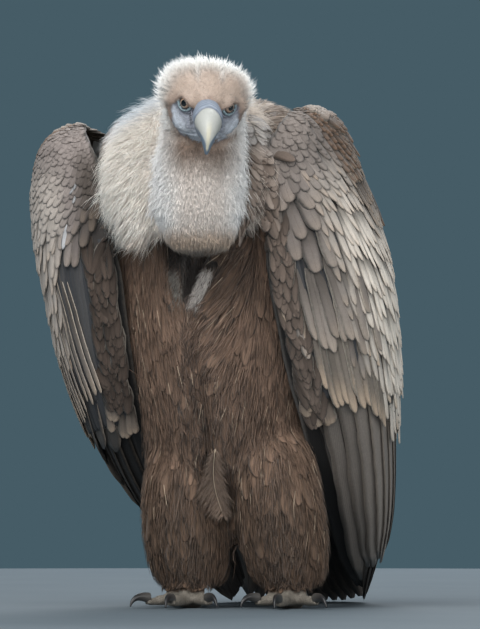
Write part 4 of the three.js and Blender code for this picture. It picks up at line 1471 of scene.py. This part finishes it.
def back_coverts(coat):
    """Broad feathers of the back half."""
    s, w, _ = rows_of(coat.sign, 0.5, 0.9, (24, 28), (18, 18), 0.5)
    n = len(s)
    base = covert_base(coat.sign, s, w)
    coat.feathers(s, w, rng.uniform(62, 84, n), rng.uniform(22, 27, n), base, base * 1.2, ROUND_PROFILE, 9,
                  (-3.6, 1.2), rng.uniform(0.1, 0.5, n))


def median_coverts(coat):
    """Single broad rows across the front."""
    for first, size in coat.pick(((0.52, 20), (0.59, 23), (0.66, 21)), ((0.60, 13), (0.655, 14))):
        gap = size * 0.8
        s, w, _ = rows_of(coat.sign, first, first + 0.01, (24, 24), (gap, gap), 0.0, SLIM + 0.03)
        n = len(s)
        base = covert_base(coat.sign, s, w) * coat.pick(1.08, 1.0)
        tips = mix(base, BUFF, 0.12) * 1.1
        coat.feathers(s, w, rng.uniform(72, 92, n), size * vary(n, 0.15), base, tips, ROUND_PROFILE, 10,
                      (-3.4, 2.2), rng.uniform(0.1, 0.5, n))


def greater_bases(coat):
    """Dark bases of the greater coverts, which show between them."""
    n = 12
    f = np.linspace(0, 1, n)
    w = even_w(coat.sign, 0.6, mix(0.03, 0.22, f))
    s = coat.pick(0.64, 0.68) + 0.03 * f
    base = colour(60, 61, 64) * mix(1.3, 0.6, rng.random((n, 1)))
    coat.feathers(s, w, np.full(n, 240.0), rng.uniform(15, 19, n), base, base * 0.8, LONG_PROFILE, 12,
                  (-2.6, -1.0), rng.uniform(0, 0.7, n), dark=0.9)


def front_tiers(coat):
    """The left wing's greater coverts: a pale upper tier, and long buff-tipped ones with dark gaps."""
    upper, lower = np.linspace(0.10, 0.42, 11), np.linspace(0.05, 0.40, 14)
    for share, length, width, tone, buff, high in (
            (upper, 110, 13.5, colour(134, 125, 118), 0.2, 2.4),
            (lower, 170, 13, colour(126, 117, 108), 0.75, 0.9)):
        n = len(share)
        w = even_w(coat.sign, 0.58, share * 0.62) + rng.uniform(-0.007, 0.007, n)
        if share is upper:
            s = 0.55 + rng.uniform(-0.03, 0.03, n) + 0.03 * share
        else:
            s = shown_end(coat.sign, w) + rng.uniform(-0.03, 0.008, n)
        base = np.tile(tone, (n, 1)) * vary((n, 1), 0.22)
        tips = mix(base, BUFF, buff) * 1.2
        coat.feathers(s, w, length * vary(n, 0.08), width * vary(n, 0.2), base, tips, LONG_PROFILE, 14,
                      (-3.4, high), rng.uniform(0.4, 1, n), roll=0.3, dark=0.45)


def bent_coverts(coat):
    """The right wing's long feathers, which sweep from the outer side over the dark quills."""
    n = 13
    f = np.linspace(0, 1, n)
    w1, w0 = mix(0.055, 0.26, f), mix(0.12, 0.36, f)
    s = mix(0.62, 0.735, f) + rng.uniform(-0.008, 0.008, n)
    base = np.tile(colour(122, 113, 106), (n, 1)) * vary((n, 1), 0.15)
    tips = mix(base, BUFF, 0.4) * 1.2
    coat.feathers(s, w1, mix(150, 190, f), rng.uniform(9, 13, n), base, tips, LONG_PROFILE, 16,
                  (-2.6, 2.6), rng.uniform(0.7, 1, n), w0=w0, roll=0.5, dark=0.4)


def greater_coverts(coat):
    """Rows of the outer side and the back, the last of which end over the secondaries."""
    for first, last, low_w in ((0.82, 0.84, SLIM), (0.92, 0.94, SLIM), (0.985, 1.0, SLIM - 0.01)):
        s, w, q = rows_of(coat.sign, first, last, (30, 30), (12, 12), low_w)
        n = len(s)
        s = s + rng.uniform(-0.018, 0.018, n)
        front = smooth(0.55, 0.4, w)
        base = covert_base(coat.sign, s, w) * mix(1.0, 0.88, smooth(0.9, 1.0, q))[:, None]
        frayed = rng.random((n, 1)) < 0.5
        tips = mix(base, BUFF, np.where(frayed, 0.8, 0.35)) * 1.1
        length, width = rng.uniform(110, 150, n), rng.uniform(16, 21, n) * mix(1.15, 0.72, front)
        coat.feathers(s, w, length, width, base, tips, LONG_PROFILE, 12, (-6.0, -0.4),
                      rng.uniform(0.3, 1, n), roll=0.14)


def leading_edge(coat):
    """Soft scaly feathers, ragged on the left wing and a brown panel on the right, and longer ones where
    they end."""
    n, reach, first, last = coat.pick((90, 0.034, 0.40, 0.70), (100, 0.045, 0.44, 0.66))
    s = np.linspace(first, last, n) + rng.uniform(-0.008, 0.008, n)
    w = rng.uniform(0.002, 1, n) ** 0.8 * reach
    base = coat.pick(colour(96, 84, 76), BROWN) * vary((n, 1), 0.3)
    length, width, fringe = rng.uniform(28, 50, n), rng.uniform(8, 16, n), rng.uniform(0.1, 0.8, n)
    w0 = np.clip(w + rng.normal(0, 0.012, n), 0.002, 0.2)
    coat.feathers(s, w, length, width, base, base * 1.25, BODY_PROFILE, 8, (-2.4, 2.8), fringe,
                  w0=w0, roll=0.0, dark=0.55)
    n = 7
    w = np.linspace(0.004, reach * 1.3, n)
    s = coat.pick(0.685, 0.69) + rng.uniform(-0.02, 0.02, n)
    base = colour(124, 112, 102) * vary((n, 1), 0.15)
    tips = mix(base, BUFF, 0.4) * 1.1
    length, width = rng.uniform(44, 60, n), rng.uniform(13, 17, n) * coat.pick(1.1, 0.8)
    coat.feathers(s, w, length, width, base, tips, LONG_PROFILE, 9, (-2.4, 1.6),
                  rng.uniform(0.3, 1, n), roll=0.0)


def slate_quills(coat):
    """Quills that show between the right wing's long feathers and its brown panel."""
    n = 9
    w = np.linspace(0.05, 0.135, n)
    base = mix(colour(58, 60, 64), colour(96, 94, 93), rng.random((n, 1)) ** 2)
    s = 0.60 + rng.uniform(-0.02, 0.05, n)
    coat.feathers(s, w, np.full(n, 200.0), rng.uniform(9, 13, n), base, base, LONG_PROFILE, 14,
                  (-2.3, -0.6), rng.uniform(0, 0.5, n), w0=w + 0.01, dark=0.9)


def white_feathers(coat):
    """A few whitish feathers of the right wing."""
    s, w, length, width, bright = np.array([
        (0.405, 0.105, 30, 8, 1), (0.30, 0.075, 13, 4, 0.6),
        (0.29, 0.06, 12, 4, 0.5), (0.32, 0.065, 11, 4, 0.6)]).T
    white = colour(190, 190, 192) * bright[:, None]
    coat.feathers(s, w, length, width, white, white, NARROW_PROFILE, 7, (0.0, 3.6), 0.3, roll=0.0, dark=0.8)


def dress_wing(side, sign):
    coat = WingCoat(sign)
    small_coverts(coat)
    fine_coverts(coat)
    back_coverts(coat)
    median_coverts(coat)
    greater_bases(coat)
    coat.pick(front_tiers, bent_coverts)(coat)
    greater_coverts(coat)
    leading_edge(coat)
    if sign == SIDES["right"]:
        slate_quills(coat)
        white_feathers(coat)
    coat.settle()
    coat.make(f"wing_{side}_covert_feathers", covert, "covert")


def quill_cells(n):
    """Upright patches side by side on the map, one for each of n quills: their places and sizes."""
    return np.stack([(np.arange(n) + 0.5) / n, np.full(n, 0.5)], -1), np.tile([0.9 / n, 0.6], (n, 1))


def quills(coat, s0, s1, w0, w1, width, root_tone, tip_tone, lift, fringe, twist):
    """Long stiff feathers, each tilted so that it lies over its neighbour."""
    n, k, sign = len(s0), 26, coat.sign
    t = np.linspace(0, 1, k)
    spine, out = on_wing(sign, s0, s1, w0, w1, t, np.full(n, lift[0]), np.full(n, lift[1]))
    half = (width / 2)[:, None] * stations(REMIGE_PROFILE, t)[None] * (1 + 0.03 * rng.normal(0, 1, (n, k)))
    tint = mix(root_tone[:, None], tip_tone[:, None], t[None, :, None])
    tilt = twist * sign + rng.normal(0, 0.02, (n, 1, 1))
    ups = unit(out - np.cross(unit(np.gradient(spine, axis=1)), out) * tilt)
    above_floor(spine, FEATHER_GAP)
    thick = np.full((n, k), QUILL_VANE)
    coat.add(spine, ups, half, thick, tint, fringe, *quill_cells(n), QUILL_RING, 0.12, False, t)


def secondaries(side, sign):
    coat = WingCoat(sign)
    n = 20
    f = np.linspace(0, 1, n)
    w1 = even_w(sign, 0.88, mix(0.09, 0.97, f))
    w0 = even_w(sign, 0.50, mix(0.10, 0.95, f))
    s0 = shown_end(sign, w0) - 0.22
    short = coat.pick(0.0, 0.20 * smooth(0.45, 0.2, w1))  # the right wing's front ones are drawn up
    s1 = secondary_end(w1) + rng.uniform(-0.014, 0.014, n) - short
    tone = REMIGE * vary((n, 1), 0.16)
    tone = coat.pick(tone, mix(tone, BLACK, 0.8 * smooth(0.4, 0.2, w1)[:, None]))
    quills(coat, s0, s1, w0, w1, rng.uniform(33, 38, n), tone * 0.9, tone * 1.35, (-12.0, -2.4), 0.8, 0.2)
    coat.make(f"wing_{side}_secondary_feathers", remige, "remige", f"wing_{side}_secondaries")


def primaries(side, sign):
    coat = WingCoat(sign)
    n = 12
    f = np.linspace(0, 1, n)
    w0, w1 = even_w(sign, 0.5, mix(0.02, 0.30, f)), even_w(sign, 0.95, mix(0.03, 0.72, f))
    s0 = np.full(n, 0.40)
    s1 = 0.992 - 0.05 * np.abs(f - 0.4) + rng.uniform(-0.006, 0.004, n)
    tone = coat.pick(PRIMARY, BLACK) * vary((n, 1), 0.14)
    quills(coat, s0, s1, w0, w1, rng.uniform(32, 40, n), tone * 0.8, tone * 0.9, (-15.0, -8.0), 0.3, 0.16)
    coat.make(f"wing_{side}_primary_feathers", remige, "remige", f"wing_{side}_primaries")


for side, sign in SIDES.items():
    dress_wing(side, sign)
    secondaries(side, sign)
    primaries(side, sign)

# Long dark feathers of the shoulder, over the wings' upper back edges.
coat = WingCoat(1)
for sign in SIDES.values():
    coat.sign = sign
    n = 90
    s, w = rng.uniform(0.06, 0.50, n), rng.uniform(0.56, 0.97, n)
    high = smooth(0.26, 0.12, s)[:, None]
    base = mix(DARK_EDGE * 1.2, SCAPULAR * 0.8, high) * vary((n, 1), 0.2)
    tips = mix(base * 1.3, RUFOUS, 0.5 * (1 - high))
    coat.feathers(s, w, rng.uniform(60, 80, n), rng.uniform(15, 21, n), base, tips, NARROW_PROFILE, 8,
                  (-1.0, 4.0), rng.uniform(0.2, 0.8, n), roll=0.0)
coat.settle()
coat.make("scapular_feathers", covert, "covert")

# Mottled feathers between the ruff and the bird's left shoulder.
coat = Coat()
left_side = lambda p: smooth(22, 40, p[:, 0]) * (p[:, 2] > 420) * (p[:, 2] < 552)
place, out = roots(["ruff"], lambda p: 0.035 / THIN * left_side(p))
n, t = len(place), tipward(8)
lift = t[None] ** 0.8 * rng.uniform(7.0, 11.0, (n, 1)) + 1
way = unit(tangent(DOWN + np.array([0.35, 0, 0]), out) + rng.normal(0, 0.12, (n, 3)))
spine, ups = follow(place, way, rng.uniform(24, 40, n), t, lift)
half = rng.uniform(6, 9.5, (n, 1)) * stations(BODY_PROFILE, t)[None]
brown = mix(colour(92, 80, 72), colour(136, 124, 115), rng.random((n, 1)))
tone = mix(brown, colour(150, 146, 143), smooth(515, 545, place[:, 2])[:, None])
lay_contours(coat, place, spine, ups, half, tone, 0.55, 1.15, 0.3, t)
coat.make("shoulder_feathers", contour, "contour")

# The mantle: pale grey feathers over the hump's sides, on to the wings' inner faces; their pale grey, at
# the top towards the bird's right, is a painted bluish highlight.
coat = Coat()
place, out = roots(["wing"], lambda p: 0.01 / THIN * (p[:, 2] > 415))
centre = np.array([0, 40, 0])
outward = unit((place - centre) * np.array([1, 1, 0]))
inner = (dot(out, outward) < 0.15) & (out[:, 2] < 0.5) & (place[:, 2] < 528)
place, out = place[inner], out[inner]
n, t = len(place), tipward(8)
lift = t[None] ** 1.1 * rng.uniform(3.0, 7.0, (n, 1)) - 0.6
inward = unit((centre - place) * np.array([1, 0.3, 0]))
way = unit(tangent(DOWN + 0.5 * inward, out) + rng.normal(0, 0.12, (n, 3)))
x, _, z = place.T
spine, ups = follow(place, way, mix(32, 20, smooth(480, 520, z)) * vary(n, 0.2), t, lift * 0.6)
half = rng.uniform(6, 9, (n, 1)) * stations(BODY_PROFILE, t)[None]
tone = mix(colour(70, 62, 56), SCAPULAR, smooth(430, 500, z)[:, None])
# a painted pale bluish highlight at the top towards the bird's right
tone = mix(tone, MANTLE_HIGHLIGHT * 0.8, (smooth(470, 530, z) * smooth(0, -40, x))[:, None]) * vary((n, 1), 0.15)
lay_contours(coat, place, spine, ups, half, tone, 0.6, 1.1, 0.3, t)
coat.make("mantle_feathers", contour, "contour")

# ---------------------------------------------------------------- tail
coat = Coat()
n, k = 12, 18
f = np.linspace(-1, 1, n)[:, None]
t = np.linspace(0, 1, k)[None]
along = t * (1 - 0.05 * f**2)
lay = {key: mix(TAIL_BASE[key], TAIL_TIP[key], along) for key in TAIL_BASE}
sunk = TAIL_ARCH * f**2 + 3 + 4 * np.abs(f)
spine = in_body(f * lay["half"] * 0.9, lay["y"] - sunk, lay["z"] - 0.3 * sunk)
above_floor(spine, TAIL_GAP)
ahead = unit(np.gradient(spine, axis=1))
sideways = unit(in_body(np.ones((n, k)), 0, 0) - in_body(np.zeros((n, k)), 0, 0))
ups = unit(np.cross(sideways, ahead))
ups *= np.sign(ups[..., 1:2])
half = np.full((n, k), 17.0) * stations(REMIGE_PROFILE, t[0])[None]
tone = mix(PRIMARY, REMIGE, 0.4) * vary((n, 1), 0.12)
tint = np.broadcast_to(tone[:, None], (n, k, 3))
coat.add(spine, ups, half, np.full((n, k), QUILL_VANE), tint, 0.4, *quill_cells(n), QUILL_RING, 0.12, False)
coat.make("tail_feathers", remige, "remige", "tail")


# ---------------------------------------------------------------- bill
def cere_edge(a):
    """Where the cere meets the ivory horn, round the bill from its side (a = 0) over its top."""
    return 0.365 - 0.075 * np.sin(a) ** 3


def cere_ridges(t, a):
    """Fine ridges round the cere, from -1 to 1."""
    return np.sin((t - cere_edge(a)) * 110 + 0.8 * np.sin(9 * a))


def cere_groove(t, a):
    """1 along the line where the cere ends."""
    return hump((t - cere_edge(a)) / 0.012)


def bill_shape(t, a, x, y):
    """A keeled ridge, flat cutting edges below, and the cere's rim."""
    c, s = np.cos(a), np.sin(a)
    keel = 1 + 0.10 * hump((a - np.pi / 2) / 0.5) * smooth(0.3, 0.8, t)
    under = mix(1.0, 0.72, smooth(-0.2, -0.7, s))
    cere = smooth(cere_edge(a), cere_edge(a) - 0.03, t)
    rim = -0.7 * cere_groove(t, a) + (0.7 + 0.25 * cere_ridges(t, a)) * cere
    return x + rim * c, y * keel * under + rim * s


HEAD_UP = UP @ HEAD_TURN.T
steps, sides = 110, 56
rings = tube(UPPER_BILL, steps, sides, in_head, HEAD_UP, bill_shape)
t, a = np.meshgrid(np.linspace(0, 1, steps + 1), around(sides), indexing="ij")
IVORY, HOOK, STREAK = colour(164, 165, 160), colour(94, 108, 122), colour(182, 176, 150)
# the ivory narrows to a wedge that runs out along the ridge
ivory_edge = mix(0.0, 0.98, smooth(0.50, 0.84, t))
flank = smooth(ivory_edge + 0.02, ivory_edge - 0.10, np.sin(a)) * smooth(0.50, 0.56, t)
tone = mix(IVORY, HOOK, flank[..., None])
tone = mix(tone, STREAK, (smooth(0.50, 0.70, t) * smooth(0.93, 0.99, np.sin(a)))[..., None] * 0.6)
tone = mix(tone, HOOK, smooth(0.88, 0.94, t)[..., None])
cere_tone = CERE * mix(0.6, 1.1, 0.5 + 0.5 * cere_ridges(t, a))[..., None]
tone = mix(tone, cere_tone, smooth(cere_edge(a) + 0.012, cere_edge(a) - 0.012, t)[..., None])
tone = mix(tone, FACE_DARK, 0.6 * cere_groove(t, a)[..., None])
bill = new_mesh("bill", *closed(rings))
set_tint(bill, np.concatenate([tone.reshape(-1, 3), tone[[0, -1]].mean(1)]))
show("bill_upper_horn", bill, horn_material("bill_horn", 0.5), "horn", "bill_upper")

p, fs = closed(tube(LOWER_BILL, 40, 32, in_head, HEAD_UP))
mandible = new_mesh("mandible", p, fs)
set_tint(mandible, np.tile(mix(HOOK, FACE_DARK, 0.4), (len(p), 1)))
show("bill_lower_horn", mandible, horn_material("mandible_horn", 0.4), "mandible", "bill_lower")


# ---------------------------------------------------------------- eyes
def eye_mesh(side, sign):
    """An eyeball with a raised cornea, its rings closest together where the lids leave it bare."""
    theta = np.radians(np.concatenate([np.linspace(0, 34, 52), np.linspace(36, 180, 34)]))[:, None]
    phi = around(48)[None]
    deg = np.degrees(theta)
    radius = EYE_RADIUS + 0.7 * smooth(29, 12, deg)
    aim = eye_aim(sign)
    right = unit(np.cross(aim, UP))
    top = np.cross(right, aim)
    ray = np.cos(theta)[..., None] * aim + (np.sin(theta) * np.cos(phi))[..., None] * right
    ray = ray + (np.sin(theta) * np.sin(phi))[..., None] * top
    mesh = new_mesh("eye_" + side, *closed(in_head(eye_centre(sign) + ray * radius[..., None])))
    fibre = 0.5 + 0.5 * np.sin(phi * 23 + 2 * np.sin(phi * 7)) * np.sin(phi * 9 + 1)
    rim = smooth(16, 27, deg)[..., None] * 0.8 + 0.2 * fibre[..., None]
    iris = mix(colour(172, 146, 126), colour(126, 100, 82), rim)
    tone = mix(iris, colour(10, 9, 10), smooth(16.6, 15.6, deg)[..., None])
    tone = mix(tone, colour(24, 20, 18), smooth(26.6, 28.6, deg)[..., None])
    set_tint(mesh, np.concatenate([tone.reshape(-1, 3), tone[0, :1], tone[-1, :1]]))
    return mesh


eye_paint = Paint("eye", 0.06, Specular_IOR_Level=0.6, Coat_Weight=1.0, Coat_Roughness=0.02)
eye_tint = eye_paint.attribute("tint")
wet = eye_paint.maths("MULTIPLY_ADD", eye_paint.noise(1500.0, 2.0), 0.3, 0.85)
eye_material = eye_paint.finish(eye_paint.shaded(eye_tint, wet))
for side, sign in SIDES.items():
    show("eyeball_" + side, eye_mesh(side, sign), eye_material, "eye", "eye_" + side)

# ---------------------------------------------------------------- claws
claw_material = horn_material("claw_horn", 0.35)
CLAW_STEPS, CLAW_SIDES, CLAW_HALF = 32, 16, 5.2
for side, sign in SIDES.items():
    for toe, (_, length, _) in TOES.items():
        t = np.linspace(0, 1, 9)
        forward, up = length - 5 + 27 * np.sin(1.35 * t), 12 + 2.5 * np.sin(np.pi * t) - 9.5 * t**2
        rows = np.stack([0 * t, forward, up, CLAW_HALF * (1 - 0.86 * t), CLAW_HALF * (1.15 - 0.99 * t)], -1)
        p, fs = closed(tube(rows, CLAW_STEPS, CLAW_SIDES, in_toe(sign, toe), UP))
        above_floor(p, CLAW_GAP)
        mesh = new_mesh(f"claw_{side}_{toe}", p, fs)
        run = np.append(np.repeat(np.linspace(0, 1, CLAW_STEPS + 1), CLAW_SIDES), [0, 1])[:, None]
        set_tint(mesh, mix(colour(74, 72, 70), colour(34, 33, 34), smooth(0, 0.6, run)))
        show(f"talon_{side}_{toe}", mesh, claw_material, "claw", f"claw_{side}_{toe}")

# ---------------------------------------------------------------- floor, light and camera
FLOOR_RADIUS, FLOOR_SIDES = 2.2, 96  # in metres
floor_mesh = bpy.data.meshes.new("floor")
floor_edge = [(FLOOR_RADIUS * np.cos(a), FLOOR_RADIUS * np.sin(a), 0) for a in around(FLOOR_SIDES)]
floor_mesh.from_pydata(floor_edge, [], [tuple(range(FLOOR_SIDES))])
floor = bpy.data.objects.new("floor", floor_mesh)
bpy.context.scene.collection.objects.link(floor)
floor_paint = Paint("floor", 0.9, Specular_IOR_Level=0.1)
floor_tone = floor_paint.blend(floor_paint.noise(6.0), colour(88, 98, 105), colour(98, 107, 113))
floor_mesh.materials.append(floor_paint.finish(floor_tone))

world = bpy.data.worlds.new("studio")
world.use_nodes = True
background = world.node_tree.nodes["Background"]
background.inputs["Color"].default_value = (*colour(70, 92, 102), 1)
background.inputs["Strength"].default_value = 1.0
bpy.context.scene.world = world


LIGHTS = {  # place, size, power, colour
    "key": ((-1.6, -3.2, 3.6), 3.6, 195, (1.0, 0.985, 0.965)),
    "fill": ((2.8, -3.4, 1.6), 3.6, 95, (1.0, 0.985, 0.97)),
    "front": ((-0.5, -5.0, 1.0), 4.0, 100, (1.0, 0.98, 0.96)),
    "rim": ((0.6, 3.2, 2.6), 2.4, 130, (0.97, 0.985, 1.0)),
    "top": ((-0.4, -0.6, 3.4), 2.6, 50, (0.96, 0.98, 1.0)),
}
LIGHT_AIM = Vector((0, 0, 0.3))
for name, (place, size, power, tone) in LIGHTS.items():
    light = bpy.data.lights.new(name, "AREA")
    light.shape, light.size, light.energy, light.color = "DISK", size, power, tone
    lamp = bpy.data.objects.new(name, light)
    lamp.location = place
    lamp.rotation_euler = (LIGHT_AIM - Vector(place)).to_track_quat("-Z", "Y").to_euler()
    bpy.context.scene.collection.objects.link(lamp)

SENSOR, DISTANCE = 36, 14  # the camera's, in mm and in metres
PICTURE_HEIGHT, PIXEL = 629, 1.1  # pixels, and mm at the bird for each
camera = bpy.data.cameras.new("camera")
camera.sensor_width = SENSOR
camera.lens = SENSOR * DISTANCE / (PICTURE_HEIGHT * PIXEL * MM)
camera.clip_end = 100
viewer = bpy.data.objects.new("camera", camera)
viewer.location = (np.array([27.5, -150 - DISTANCE / MM, 327.25]) + SHIFT) * MM
viewer.rotation_euler = (math.radians(90), 0, 0)
bpy.context.scene.collection.objects.link(viewer)
bpy.context.scene.camera = viewer
bpy.context.scene.view_settings.view_transform = "Standard"
